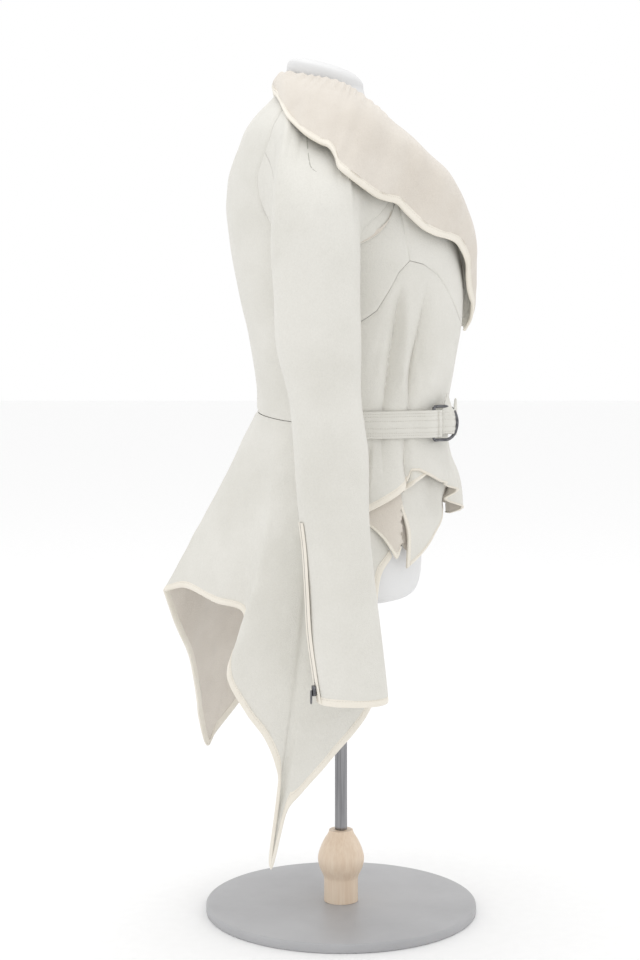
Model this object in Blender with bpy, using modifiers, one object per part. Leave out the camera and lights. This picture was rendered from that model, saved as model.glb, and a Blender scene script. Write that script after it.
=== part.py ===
"""A wrap jacket of leather-faced shearling, worn by a limbless dress form on a stand.

Metres, +Z up, the front of the garment towards -Y and the wearer's right towards -X. The origin is
under the middle of the base plate, on the axis of the pole. Tables hold millimetres and degrees. A place
on the torso is an angle (0 at centre front, 90 at the wearer's right, 180 at centre back) and a height.
"""

import math

import bmesh
import bpy
import numpy as np

MM = 0.001
WALL = 3.0
SEAM = 0.3
BINDING = 9.0
BINDING_EXTRA = 0.4
RING_POWER = 2.3
RIGHT, LEFT = 1, -1
SIDES = (("right", RIGHT), ("left", LEFT))

# Outer face of the jacket's body: height, back, front, half width.
TORSO = (
    (440, 126, -148, 162),
    (500, 123, -153, 160),
    (530, 121, -153, 157),
    (568, 118, -149, 151),
    (590, 114, -143, 141),
    (613, 110, -139, 132.5),
    (637, 109, -138, 131),
    (655, 109, -138, 131),
    (675, 109, -141, 131),
    (700, 112, -146, 132),
    (729, 117, -151, 135),
    (755, 122, -155, 137),
    (783, 129, -157, 138),
    (812, 135, -158, 138),
    (850, 142, -154, 138),
    (880, 146, -148, 138),
    (910, 149, -140, 139),
    (930, 148, -130, 141),
    (950, 146, -116, 142),
    (970, 140, -98, 140),
    (990, 132, -78, 134),
    (1010, 124, -58, 122),
    (1030, 110, -45, 104),
    (1050, 92, -37, 76),
    (1068, 79, -33, 58),
    (1080, 76, -31, 54),
)
# Seam between body and raglan sleeve, from the underarm to the neck: angle, height.
RAGLAN_BACK = (
    (95, 862), (105, 866), (117, 879), (127, 903), (131, 940), (127, 975), (121, 1022), (117, 1050),
    (113, 1066),
)
RAGLAN_FRONT = (
    (95, 862), (81, 872), (69, 893), (62, 925), (60, 957), (60, 990), (62, 1018), (67, 1046), (80, 1065),
)
RAGLAN_STEPS = len(RAGLAN_BACK) - 1
NECK_STEPS = 4
ARMHOLE_STEPS = 2 * RAGLAN_STEPS + NECK_STEPS
NECK_BACK_DROP = 6
# Where the right front ends, from the hem up to the neck: height, angle.
RIGHT_EDGE = (
    (520, -16), (575, -30), (637, -40), (700, -36), (738, -25), (780, -7), (812, 0), (850, 6), (900, 14),
    (948, 22), (990, 27), (1030, 33), (1048, 45), (1060, 62), (1065, 76),
)
# Where the left front ends; it passes under the right front below the bust: height, angle.
LEFT_EDGE = (
    (461, -61), (505, -62), (546, -67), (600, -64), (655, -58), (700, -44), (738, -25), (780, -7), (812, 0),
    (850, 6), (900, 14), (948, 22), (990, 27), (1030, 33), (1048, 45), (1060, 62), (1065, 76),
)
# Arched seam under the bust: angle, height.
BUST_SEAM = (
    (-25, 738), (-12, 745), (0, 752), (10, 762), (20, 773), (27, 785), (34, 798), (45, 824), (54, 836),
    (62, 840), (69, 825), (81, 778), (95, 752),
)
# Angles at which the lower fronts are cut from the bust seam down.
RIGHT_COLUMNS = (-12, 0, 10, 20, 27, 34, 40, 45, 50, 54, 57, 59.5, 62, 65, 69, 72, 75, 78, 81, 88, 95)
LEFT_COLUMNS = (-12, 0, 10, 20, 27, 34, 45, 54, 62, 69, 81, 95)
# Waist seam of the back: angle, height.
WAIST_SEAM = ((95, 635), (180, 649))
SIDE_ANGLE = 95
SIDE_ROWS = (635, 655, 675, 710, 752, 790, 828, 862)
LOW_SIDE_ROWS = (619, 600, 580, 560, 545)
SEAM_ANGLE = 0.08
BACK_COLUMNS = 7
PRINCESS_ANGLE = 62
PRINCESS_STEP = 3
# Bindings of the fronts: degrees round the torso at the free edge, shares of the length at the hem.
EDGE_STRIP, HEM_STRIP, HEM_GAP = 3.8, 0.036, 0.0015
# Where the right front covers it, the left front lies this far in, and lower down by the table's room
# more: height, room.
UNDERLAP_DEPTH = 5.5
UNDERLAP_ROOM = ((461, 3), (520, 5), (560, 11), (590, 9), (617, 6), (657, 6), (700, 8), (738, 4), (780, 1))
# Hems of the fronts, from the centre to the side seam: angle, height.
RIGHT_HEM = (
    (-30, 575), (-22, 556), (-14, 528), (-6, 516), (2, 516), (10, 530), (20, 550), (28, 559), (38, 565),
    (47, 574), (54, 581), (60, 582), (65, 560), (71, 551), (86, 532), (95, 530),
)
LEFT_HEM = ((-61, 461), (-40, 487), (-12, 523), (20, 545), (50, 562), (70, 548), (86, 532), (95, 530))
# Pleats of the right front: height, angle of the trough's line, depth, half width in degrees.
PLEATS = (
    (
        (560, 77, 0, 3.5), (600, 77, 2, 3.5), (653, 76, 4, 3.5), (690, 75, 9, 3.8), (742, 73, 10, 3.8),
        (790, 70, 6, 3.2), (815, 68, 0, 3.0),
    ),
    (
        (540, 63, 10, 3.2), (590, 63, 8, 3.2), (617, 62, 4, 3.2), (657, 59, 5, 3.2), (700, 60, 11, 3.6),
        (740, 58, 10, 3.6), (791, 54, 5, 3.2), (820, 52, 0, 3.0),
    ),
)
# Swells beside the pleats: middle angle, half width in degrees.
SWELL_HEIGHT, SWELL_FOOT, SWELL_TOP = 4, 662, 820
SWELLS = ((66, 3.5), (47, 6.0))
# Folds of the right front's hem below the belt: height, degrees from one to the next.
HEM_FOLD_HEIGHT, HEM_FOLD_STEP = 5, 15
# Sleeves, from their top ring to the cuff: height, middle across, back, front, half width.
SLEEVE = (
    (840, -191, 86, -22, 47),
    (799, -194, 83, -21, 45),
    (739, -199, 80, -22, 43),
    (677, -204, 66, -22, 41),
    (612, -209, 59, -30, 39),
    (547, -214, 54, -30, 38),
    (499, -217, 48, -33, 37),
    (451, -219, 45, -38, 37),
    (397, -222, 42, -45, 36),
    (346, -225, 35, -50, 36),
    (316, -226, 30, -53, 36),
)
CAP_ROWS = (0.0, 0.12, 0.28, 0.46, 0.64, 0.82, 1.0)
CAP_FULLNESS = 0.42
BACK_SEAM_STEP = 5
FRONT_SEAM_STEP = 17
SLEEVE_SEAM_GAP = 0.012
# Collar, from centre back to the break of the lapel: neckline angle and height, roll, outer edge.
COLLAR = (
    (180, 1061, 0, 78, 1082, 0, 87, 1067),
    (165, 1061.3, -22, 75, 1083, -40, 84, 1055),
    (145, 1063.8, -42, 62, 1081, -74, 78, 1043),
    (125, 1066.6, -54, 45, 1077, -118, 68, 1018),
    (108, 1067, -59, 30, 1074, -150, 55, 1001),
    (92, 1067, -62, 17, 1071, -166, 44, 990),
    (80, 1066.4, -63, 6, 1067, -177, 29, 980),
    (68, 1062, -64, -5, 1062, -184, 17, 974),
    (58, 1056, -65, -16, 1056, -192, 10, 962),
    (48, 1049, -66, -27, 1049, -201, 6, 949),
    (40, 1040, -67, -38, 1040, -203, -6, 938),
    (35, 1030, -68, -50, 1030, -192, -24, 925),
    (33, 1018, -70, -63, 1017, -172, -39, 916),
    (31, 1008, -72, -76, 1006, -155, -52, 912),
    (29, 996, -72, -90, 993, -143, -66, 909),
    (28, 984, -71, -103, 981, -138, -76, 899),
    (27, 972, -69, -116, 969, -131, -91, 885),
    (24, 958, -66, -130, 956, -124, -102, 877),
    (21, 944, -61, -140, 942, -115, -116, 871),
    (18, 930, -56, -148, 927, -99, -131, 868),
    (15, 912, -50, -155, 910, -83, -143, 863),
    (12, 892, -42, -162, 892, -69, -151.5, 852),
    (9, 872, -33, -167, 873, -57, -157.5, 838),
    (6, 850, -23, -170, 852, -49, -158.5, 821),
    (2, 828, -12, -171, 830, -41, -160.5, 806),
    (-1, 808, -2, -170, 810, -28, -164.5, 794),
    (-5, 790, 10, -169, 792, -14, -168, 786),
    (-10, 772, 24, -165, 775, 12, -168, 767),
    (-18, 754, 40, -159, 758, 38, -162, 752),
)
# Degrees between the fronts' edges and the foot of the collar.
COLLAR_GAP = 0.5
COLLAR_WALL, COLLAR_EXTRA = 2.4, 0.3
LEFT_STATIONS = 25
LEFT_DRAW = np.array([-8.0, 5.0, 0.0])
# Height of the collar's swell over a straight line from roll to edge, by share of its length: share, height.
COLLAR_SWELL = ((0.0, 4), (0.15, 8), (0.35, 22), (0.55, 23), (0.75, 9), (1.0, 2))
TAIL_WALL, TAIL_GAP, TAIL_TUCK = 2.6, 0.0042, 8
# Tails: angle at the waist, knee of the sheet, hem.
RIGHT_TAIL = (
    (180, 0, 165, 535, 0, 231, 414),
    (168, -38, 150, 536, -40, 200, 424),
    (158, -72, 128, 534, -78, 160, 411),
    (150, -98, 105, 530, -100, 124, 402),
    (145, -114, 97, 518, -126, 126, 370),
    (140, -128, 92, 502, -152, 141, 333),
    (132, -140, 80, 480, -162, 118, 290),
    (125, -148, 66, 462, -164, 95, 259),
    (119, -153, 57, 445, -163, 81, 225),
    (114, -156, 51, 425, -160, 77, 190),
    (109, -158, 48, 385, -152, 88, 96),
    (106, -160, 36, 410, -161, 70, 164),
    (103, -161, 24, 425, -164, 48, 194),
    (100, -162, 8, 440, -166, 14, 233),
    (98, -161, -8, 460, -166, -36, 300),
    (97, -154.5, -20, 480, -160, -40, 380),
    (96, -147, -26, 520, -149, -46, 448),
    (95.5, -138, -28, 560, -139, -61, 476),
)
LEFT_TAIL = (
    (180, 0, 165, 535, 0, 231, 414),
    (168, -24, 157, 528, -30, 218, 365),
    (158, -50, 147, 515, -60, 204, 324),
    (148, -76, 138, 502, -86, 199, 292),
    (138, -98, 131, 490, -112, 195, 250),
    (128, -116, 124, 480, -130, 193, 219),
    (120, -134, 112, 472, -146, 184, 181),
    (114, -142, 100, 474, -152, 172, 197),
    (109, -148, 84, 478, -157, 141, 236),
    (104, -155, 62, 486, -166, 95, 300),
    (100, -160, 32, 498, -170, 40, 365),
    (97.5, -152, 2, 512, -165, 0, 412),
    (96.5, -146.5, -16, 530, -154, -35, 450),
    (95.5, -137, -28, 560, -139, -61, 476),
)
BELT_LOW, BELT_HIGH = 620, 654
BELT_ANGLES = (41, 44, 47, 50, 53, 56, 59, 68, 77, 86, 94)
# The belt's end rises over the ring's bar from this angle on.
BELT_REST, BELT_RISE, BELT_RISE_ANGLE, BELT_RISE_WIDTH = 1.3, 6.4, 57, 14
# Left strap, from the wearer's left side to its puffed end behind the ring: angle, distance from the torso.
LEFT_STRAP = (
    (-94, 3.8), (-82, 3.8), (-70, 3.8), (-58, 3.8), (-47, 3.8), (-36, 3.8), (-24, 3.8), (-12, 3.8), (0, 3.8),
    (9, 4.4), (16, 7.5), (22, 12), (27, 14.5), (31, 13), (34, 8.5),
)
RING_ANGLE = 38
RING_WIDTH, RING_HEIGHT, RING_ROD, RING_BOW, RING_STEPS = 30, 42, 4.4, 17, 10
STRAP = 2.3
# Loop's flat end under the belt: angle past the belt's end, distance from the torso.
LOOP_TAIL = ((6, 2.6), (2, 2.6), (-1.6, 3.0))
LOOP_START, LOOP_END, LOOP_STEPS = -105, 78, 10
ZIP_TOP, ZIP_FOOT, ZIP_HALF, ZIP_THICK = 528, 318, 3.0, 1.4
ZIP_ANGLE = 112
CUFF_RADIUS = 40
SLIDER_GAP = 1.2
SLIDER_SIZE = (8.0, 4.0, 12.0)
TAB_SIZE = (6.0, 1.4, 16.0)
TAB_HEAD = 0.6
SLIDER_HEIGHT = 332
# Dress form: height, back, front, half width.
FORM = (
    (415, 78, -84, 128),
    (418, 86, -92, 137),
    (427, 94, -99, 144),
    (445, 99, -103, 148),
    (470, 101, -104, 149),
    (500, 98, -102, 147),
    (530, 92, -97, 141.5),
    (560, 86, -91, 133.5),
    (590, 80, -85, 126),
    (637, 74, -77, 118),
    (690, 82, -88, 120),
    (750, 99, -108, 127),
    (810, 116, -124, 131),
    (850, 133, -126, 130),
    (880, 138.5, -120, 130.5),
    (910, 142, -110, 132.5),
    (930, 141, -102, 134.5),
    (950, 138.5, -92, 135),
    (970, 132.5, -80, 132),
    (990, 124, -68, 124.5),
    (1010, 114, -54, 110),
    (1030, 98, -41, 90),
    (1050, 81, -33, 62),
    (1066, 71, -29, 50),
)
# Top of the form's neck: height at the middle, share of the neck's size, share of the slant.
NECK_TOP = ((1075, 1.0, 0.35), (1085, 0.98, 0.9), (1091, 0.9, 1.0), (1096, 0.7, 1.0), (1098, 0.35, 1.0))
NECK_SLANT = 0.27
FORM_SIDES = 28
BASE_RADIUS, BASE_HEIGHT = 175, 12
POLE_RADIUS, POLE_FOOT = 8, 104
FOOT_SIDES, PLATE_SIDES, POLE_SIDES = 24, 40, 20
# Turned foot: radius, height, from its top down.
FOOT = (
    (0, 104), (14, 104), (15.5, 103), (17, 99), (22, 91), (27, 80), (30, 68), (28, 56), (23, 45), (22, 38),
    (22, 12.3), (0, 12.3),
)

LEATHER = (0.76, 0.76, 0.71, 1)
SUEDE = (0.74, 0.69, 0.62, 1)
TRIM = (0.83, 0.79, 0.70, 1)
FORM_WHITE = (0.80, 0.80, 0.81, 1)
STEEL = (0.33, 0.33, 0.34, 1)
GUNMETAL = (0.10, 0.10, 0.11, 1)
WOOD = (0.73, 0.55, 0.39, 1)
COLLECTION = "Shearling jacket on dress form"


# Curves and small helpers


def smooth(x, rows, column):
    """Value of a table's column at x, on a curve through its rows; the first column ascends."""
    xs = [float(row[0]) for row in rows]
    ys = [float(row[column]) for row in rows]
    x = min(max(x, xs[0]), xs[-1])
    k = 0
    while k < len(xs) - 2 and x > xs[k + 1]:
        k += 1

    def slope(i):
        low, high = max(i - 1, 0), min(i + 1, len(xs) - 1)
        return (ys[high] - ys[low]) / (xs[high] - xs[low])

    width = xs[k + 1] - xs[k]
    t = (x - xs[k]) / width
    start, end = slope(k) * width, slope(k + 1) * width
    return (
        (1 + 2 * t) * (1 - t) ** 2 * ys[k]
        + t * (1 - t) ** 2 * start
        + t * t * (3 - 2 * t) * ys[k + 1]
        + t * t * (t - 1) * end
    )


def along(points, place):
    """Point on a smooth curve through the points; place counts them from 0."""
    rows = [(i,) + tuple(p) for i, p in enumerate(points)]
    return np.array([smooth(place, rows, c + 1) for c in range(len(points[0]))])


def straight(x, rows):
    """Height on a line that runs straight between the rows of a table of two columns."""
    return float(np.interp(x, [row[0] for row in rows], [row[1] for row in rows]))


def mix(a, b, t):
    return a + (b - a) * t


def ease(t):
    t = min(max(t, 0.0), 1.0)
    return t * t * (3 - 2 * t)


def unit(v):
    return v / max(float(np.linalg.norm(v)), 1e-9)


def rounded(value):
    return math.copysign(abs(value) ** (2 / RING_POWER), value)


def sided(point, side):
    """The point itself on the right, its mirror image on the left."""
    return point * np.array([side, 1.0, 1.0])


# Torso


def ring_point(rows, angle, z):
    """Point on a table's rounded ring, in mm."""
    back, front, half = (smooth(z, rows, c) for c in (1, 2, 3))
    a = math.radians(angle)
    y = (back + front) / 2 - (back - front) / 2 * rounded(math.cos(a))
    return np.array([-half * rounded(math.sin(a)), y, z])


def torso_normal(angle, z):
    around = ring_point(TORSO, angle + 2, z) - ring_point(TORSO, angle - 2, z)
    up = ring_point(TORSO, angle, z + 2) - ring_point(TORSO, angle, z - 2)
    return unit(np.cross(up, around))


def torso(angle, z, out=0.0):
    return ring_point(TORSO, angle, z) + out * torso_normal(angle, z)


# Objects


def make_collection():
    for obj in list(bpy.data.objects):
        bpy.data.objects.remove(obj, do_unlink=True)
    group = bpy.data.collections.new(COLLECTION)
    bpy.context.scene.collection.children.link(group)
    return group


def finish_object(obj, colour, roughness=0.6, metallic=0.0):
    for group in list(obj.users_collection):
        group.objects.unlink(obj)
    bpy.data.collections[COLLECTION].objects.link(obj)
    material = bpy.data.materials.new(obj.name)
    material.use_nodes = True
    shader = material.node_tree.nodes["Principled BSDF"]
    shader.inputs["Base Color"].default_value = colour
    shader.inputs["Roughness"].default_value = roughness
    shader.inputs["Metallic"].default_value = metallic
    obj.data.materials.append(material)
    if obj.type == "MESH":
        obj.data.shade_smooth()
        obj.data.set_sharp_from_angle(angle=math.radians(50))
    return obj


def mesh_object(name, bm):
    bmesh.ops.recalc_face_normals(bm, faces=bm.faces)
    if bm.calc_volume(signed=True) < 0:
        bmesh.ops.reverse_faces(bm, faces=bm.faces)
    mesh = bpy.data.meshes.new(name)
    bm.to_mesh(mesh)
    bm.free()
    obj = bpy.data.objects.new(name, mesh)
    bpy.context.scene.collection.objects.link(obj)
    return obj


def cloth(name, place, columns, rows, inner, outer, colour=LEATHER, closed=False):
    """A wall of cloth: place(column, row, out) gives its points, out being the height over the face."""
    bm = bmesh.new()
    layers = [
        [[bm.verts.new(place(c, r, out) * MM) for r in rows] for c in columns] for out in (inner, outer)
    ]
    last = len(columns) if closed else len(columns) - 1
    for layer in layers:
        for i in range(last):
            for j in range(len(rows) - 1):
                ahead = layer[(i + 1) % len(columns)]
                bm.faces.new([layer[i][j], ahead[j], ahead[j + 1], layer[i][j + 1]])
    low, high = layers
    for i in range(last):
        k = (i + 1) % len(columns)
        for j in (0, len(rows) - 1):
            bm.faces.new([low[i][j], low[k][j], high[k][j], high[i][j]])
    if not closed:
        for i in (0, len(columns) - 1):
            for j in range(len(rows) - 1):
                bm.faces.new([low[i][j], low[i][j + 1], high[i][j + 1], high[i][j]])
    return finish_object(mesh_object(name, bm), colour)


def loft(name, rings, colour, roughness=0.6):
    """A solid through rings of points, closed flat at both ends."""
    bm = bmesh.new()
    loops = [[bm.verts.new(point * MM) for point in ring] for ring in rings]
    count = len(loops[0])
    for a, b in zip(loops, loops[1:]):
        for i in range(count):
            bm.faces.new([a[i], a[(i + 1) % count], b[(i + 1) % count], b[i]])
    bm.faces.new(loops[0])
    bm.faces.new(loops[-1])
    return finish_object(mesh_object(name, bm), colour, roughness)


# Body panels


def bust_seam(angle):
    return straight(angle, BUST_SEAM)


def waist_seam(angle):
    return straight(angle, WAIST_SEAM)


def pleat_height(angle, z):
    """How far the right front stands over the torso's face: troughs at its pleats, swells beside them."""
    height = 0.0
    for rows in PLEATS:
        line, depth, width = (smooth(z, rows, c) for c in (1, 2, 3))
        if rows[0][0] <= z <= rows[-1][0]:
            height -= depth * math.exp(-(((angle - line) / width) ** 2))
    swell = SWELL_HEIGHT * ease((z - SWELL_FOOT) / 40) * ease((SWELL_TOP - z) / 60)
    for middle, width in SWELLS:
        height += swell * math.exp(-(((angle - middle) / width) ** 2))
    fall = HEM_FOLD_HEIGHT * ease((605 - z) / 60) * ease((angle + 30) / 12) * ease((40 - angle) / 12)
    return height + fall * (0.5 - 0.5 * math.cos(2 * math.pi * angle / HEM_FOLD_STEP))


def underlap_height(angle, z):
    """How far the left front stands over the torso's face: it lies under where the right front covers it."""
    cover = (1 - ease((angle - 45) / 20)) * (1 - ease((z - 812) / 60))
    room = smooth(z, UNDERLAP_ROOM, 1) * ease((-18 - angle) / 18)
    return -UNDERLAP_DEPTH * cover - room


def right_place(angle, z, out):
    return torso(angle, z, out + pleat_height(angle, z))


def left_place(angle, z, out):
    return sided(torso(angle, z, out + underlap_height(angle, z)), LEFT)


def build_back():
    rows = [(SIDE_ANGLE, z) for z in SIDE_ROWS] + list(RAGLAN_BACK[1:])
    neck_angle, neck_height = RAGLAN_BACK[-1]

    def place(column, row, out):
        edge_angle, edge_z = rows[row]
        angle = mix(edge_angle, 180, 1 - abs(column) / BACK_COLUMNS)
        rise = (edge_z - SIDE_ROWS[0]) / (neck_height - SIDE_ROWS[0])
        z = edge_z + (waist_seam(angle) - SIDE_ROWS[0] + SEAM) * (1 - rise) ** 2
        if row == len(rows) - 1:
            z -= NECK_BACK_DROP * ease((angle - neck_angle) / 60)
        if abs(column) == BACK_COLUMNS and row < len(SIDE_ROWS):
            angle += SEAM_ANGLE
        return sided(torso(angle, z, out), RIGHT if column <= 0 else LEFT)

    columns = range(-BACK_COLUMNS, BACK_COLUMNS + 1)
    cloth("back_body", place, columns, range(len(rows)), -WALL, 0)


def build_front_upper(name, place_on, edge):
    """Front above the bust seam: rows up to the princess seam's top, then along the sleeve's seam."""
    angles = [row[0] for row in BUST_SEAM if row[0] <= PRINCESS_ANGLE]
    shares = [(a - angles[0]) / (PRINCESS_ANGLE - angles[0]) for a in angles]
    low_rows = (0, 0.08, 0.16, 0.25, 0.45, 0.7, 1)
    low, high = BUST_SEAM[0][1] + SEAM, RAGLAN_FRONT[PRINCESS_STEP][1]
    tops = RAGLAN_FRONT[PRINCESS_STEP + 1:]

    def place(column, row, out):
        if row < len(low_rows):
            far = PRINCESS_ANGLE - SEAM_ANGLE
            edge_angle = smooth(mix(low, high, low_rows[row]), edge, 1)
            angle = mix(edge_angle, far, shares[column])
            z = mix(bust_seam(angles[column]) + SEAM, high, low_rows[row])
        else:
            far, z = tops[row - len(low_rows)]
            angle = mix(smooth(z, edge, 1), far, shares[column])
        return place_on(angle, z, out)

    cloth(name, place, range(len(shares)), range(len(low_rows) + len(tops)), -WALL, 0)


def build_front_side(name, place_on):
    """Panel under the arm, between the princess seam and the side seam."""
    heights = [z for z in SIDE_ROWS if z >= bust_seam(SIDE_ANGLE)]
    shares = [(z - heights[0]) / (heights[-1] - heights[0]) for z in heights]

    def place(column, row, out):
        angle, top = RAGLAN_FRONT[column]
        nudge = {0: -SEAM_ANGLE, PRINCESS_STEP: SEAM_ANGLE}.get(column, 0)
        return place_on(angle + nudge, mix(bust_seam(angle) + SEAM, top, shares[row]), out)

    cloth(name, place, range(PRINCESS_STEP + 1), range(len(shares)), -WALL, 0)


def build_front_lower(name, place_on, edge, hem, angles):
    """Front below the bust seam, with its hem binding and the binding of its free edge."""
    start, top, low = BUST_SEAM[0][0], bust_seam(SIDE_ANGLE), straight(SIDE_ANGLE, hem)
    heights = [z for z in reversed(SIDE_ROWS) if z < top] + list(LOW_SIDE_ROWS)
    rows = [0] + [(top - z) / (top - low) for z in heights]

    def place(angle, row, out):
        edge_z = mix(BUST_SEAM[0][1], straight(edge[0][1], hem), row)
        shift = smooth(edge_z, edge, 1) - start
        share = (SIDE_ANGLE - SEAM_ANGLE - angle) / (SIDE_ANGLE - start)
        here = angle + shift * share
        return place_on(here, mix(bust_seam(angle) - SEAM, straight(here, hem), row), out)

    inset = [start + EDGE_STRIP + SEAM_ANGLE] + [min(a, SIDE_ANGLE - SEAM_ANGLE) for a in angles]
    main_rows = [r for r in rows if r < 1 - HEM_STRIP - 0.01] + [1 - HEM_STRIP]
    cloth(name, place, inset, main_rows, -WALL, 0)
    low_rows = (1 - HEM_STRIP + HEM_GAP, 1)
    thick = (-WALL - BINDING_EXTRA, BINDING_EXTRA, TRIM)
    cloth("binding_hem_" + name, place, inset, low_rows, *thick)
    cloth("binding_edge_" + name, place, (start, start + EDGE_STRIP), main_rows + [1.0], *thick)


# Sleeves


def armhole(step):
    """Angle and height of a point round the armhole: underarm, back, neck, front, underarm."""
    step = step % ARMHOLE_STEPS
    if step <= RAGLAN_STEPS:
        return along(RAGLAN_BACK, step)
    if step >= RAGLAN_STEPS + NECK_STEPS:
        return along(RAGLAN_FRONT, ARMHOLE_STEPS - step)
    share = (step - RAGLAN_STEPS) / NECK_STEPS
    return mix(np.array(RAGLAN_BACK[-1], float), np.array(RAGLAN_FRONT[-1], float), share)


def arm_angle(step):
    """Angle round the arm of an armhole point: 0 towards the body, 90 back, 180 outwards."""
    step = step % ARMHOLE_STEPS
    if step <= RAGLAN_STEPS:
        return 150 * step / RAGLAN_STEPS
    if step <= RAGLAN_STEPS + NECK_STEPS:
        return 150 + 60 * (step - RAGLAN_STEPS) / NECK_STEPS
    return 210 + 150 * (step - RAGLAN_STEPS - NECK_STEPS) / RAGLAN_STEPS


def arm_face(angle, z):
    rows = [(-row[0],) + row[1:] for row in SLEEVE]
    middle, back, front, half = (smooth(-z, rows, c) for c in (1, 2, 3, 4))
    a = math.radians(angle)
    y = (back + front) / 2 + (back - front) / 2 * rounded(math.sin(a))
    return np.array([middle + half * rounded(math.cos(a)), y, z])


def arm_normal(angle, z):
    around = arm_face(angle + 2, z) - arm_face(angle - 2, z)
    return unit(np.cross(around, np.array([0.0, 0.0, 1.0])))


def cap_face(step, t):
    """Point of the sleeve cap, from the armhole (t 0) to the top ring of the arm (t 1)."""
    angle, z = armhole(step)
    top = SLEEVE[0][0]
    start, end = ring_point(TORSO, angle, z), arm_face(arm_angle(step), top)
    span = float(np.linalg.norm(end - start))
    lift = ease((z - 862) / 120)
    out = unit(mix(np.array([-0.55, 0.0, -0.8]), np.array([-0.88, 0.0, -0.42]), lift))
    normal = torso_normal(angle, z)
    out = unit(out - 0.9 * normal * float(np.dot(out, normal)))
    above = unit(end - arm_face(arm_angle(step), top - 40))
    a, b = start + out * span * CAP_FULLNESS, end + above * span * CAP_FULLNESS
    s = 1 - t
    return s ** 3 * start + 3 * s * s * t * a + 3 * s * t * t * b + t ** 3 * end


def cap_normal(step, t):
    t_low, t_high = max(t - 0.01, 0), min(t + 0.01, 1)
    down = cap_face(step, t_high) - cap_face(step, t_low)
    around = cap_face(step + 0.1, t) - cap_face(step - 0.1, t)
    own = unit(np.cross(down, around))
    at_seam = torso_normal(*armhole(step))
    at_arm = arm_normal(arm_angle(step), SLEEVE[0][0])
    own = unit(mix(at_seam, own, ease(t / 0.2)))
    return unit(mix(own, at_arm, ease((t - 0.8) / 0.2)))


def sleeve_rows():
    cap = [("cap", t) for t in CAP_ROWS]
    arm = [("arm", row[0]) for row in SLEEVE[1:-1]]
    return cap + arm + [("arm", SLEEVE[-1][0] + BINDING + SEAM)]


def sleeve_place(side):
    def place(step, row, out):
        kind, value = row
        if kind == "arm":
            angle = arm_angle(step)
            return sided(arm_face(angle, value) + out * arm_normal(angle, value), side)
        t = max(value, 0.0)
        point = cap_face(step, t) + out * cap_normal(step, t)
        if t == 0:
            point = point + 3 * SEAM * unit(cap_face(step, 0.05) - cap_face(step, 0))
        return sided(point, side)

    return place


def build_sleeve(word, side):
    place = sleeve_place(side)
    gap = SLEEVE_SEAM_GAP
    back, front = BACK_SEAM_STEP, FRONT_SEAM_STEP
    upper = [back + gap] + list(range(back + 1, front)) + [front - gap]
    under = [front + gap] + list(range(front + 1, back + ARMHOLE_STEPS)) + [back + ARMHOLE_STEPS - gap]
    cloth(f"sleeve_{word}_upper", place, upper, sleeve_rows(), -WALL, 0)
    cloth(f"sleeve_{word}_under", place, under, sleeve_rows(), -WALL, 0)
    cuff = SLEEVE[-1][0]
    rows = [("arm", cuff + BINDING), ("arm", cuff)]
    extra = BINDING_EXTRA
    cloth(f"binding_cuff_{word}", place, range(ARMHOLE_STEPS), rows, -WALL - extra, extra, TRIM, closed=True)


# Cuff zips


def zip_frame(side, z):
    """Middle of the zip at a height, with the directions across it and away from the sleeve."""
    point, out = arm_face(ZIP_ANGLE, z), arm_normal(ZIP_ANGLE, z)
    across = unit(np.cross(np.array([0.0, 0.0, 1.0]), out))
    return sided(point, side), sided(across, side), sided(out, side)


def block(name, middle, across, out, size, colour):
    """A small block whose sides follow the directions across, out and up."""
    bm = bmesh.new()
    bmesh.ops.create_cube(bm, size=1.0)
    up = np.cross(out, across)
    for vert in bm.verts:
        x, y, z = vert.co
        vert.co = (middle + across * x * size[0] + out * y * size[1] + up * z * size[2]) * MM
    return finish_object(mesh_object(name, bm), colour, 0.35, 1.0)


def build_zip(word, side):
    half = math.degrees(ZIP_HALF / CUFF_RADIUS)

    def place(column, z, out):
        a = ZIP_ANGLE + half * column
        return sided(arm_face(a, z) + out * arm_normal(a, z), side)

    heights = [ZIP_TOP] + [row[0] for row in SLEEVE if ZIP_FOOT < row[0] < ZIP_TOP] + [ZIP_FOOT]
    low = BINDING_EXTRA + SEAM
    cloth(f"zip_{word}", place, (-1, 0, 1), heights, low, low + ZIP_THICK, GUNMETAL)
    middle, across, out = zip_frame(side, SLIDER_HEIGHT)
    seat = BINDING_EXTRA + SEAM + ZIP_THICK + SLIDER_GAP
    slider_middle = middle + out * (seat + SLIDER_SIZE[1] / 2)
    block(f"zip_slider_{word}", slider_middle, across, out, SLIDER_SIZE, GUNMETAL)
    tab_out = seat + SLIDER_SIZE[1] + SEAM + TAB_SIZE[1] / 2
    tab_middle = middle + out * tab_out - np.array([0, 0, TAB_SIZE[2] / 2 - TAB_HEAD])
    block(f"zip_pull_{word}", tab_middle, across, out, TAB_SIZE, GUNMETAL)


# Collar


def collar_row(place):
    return along(COLLAR, place)


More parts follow.
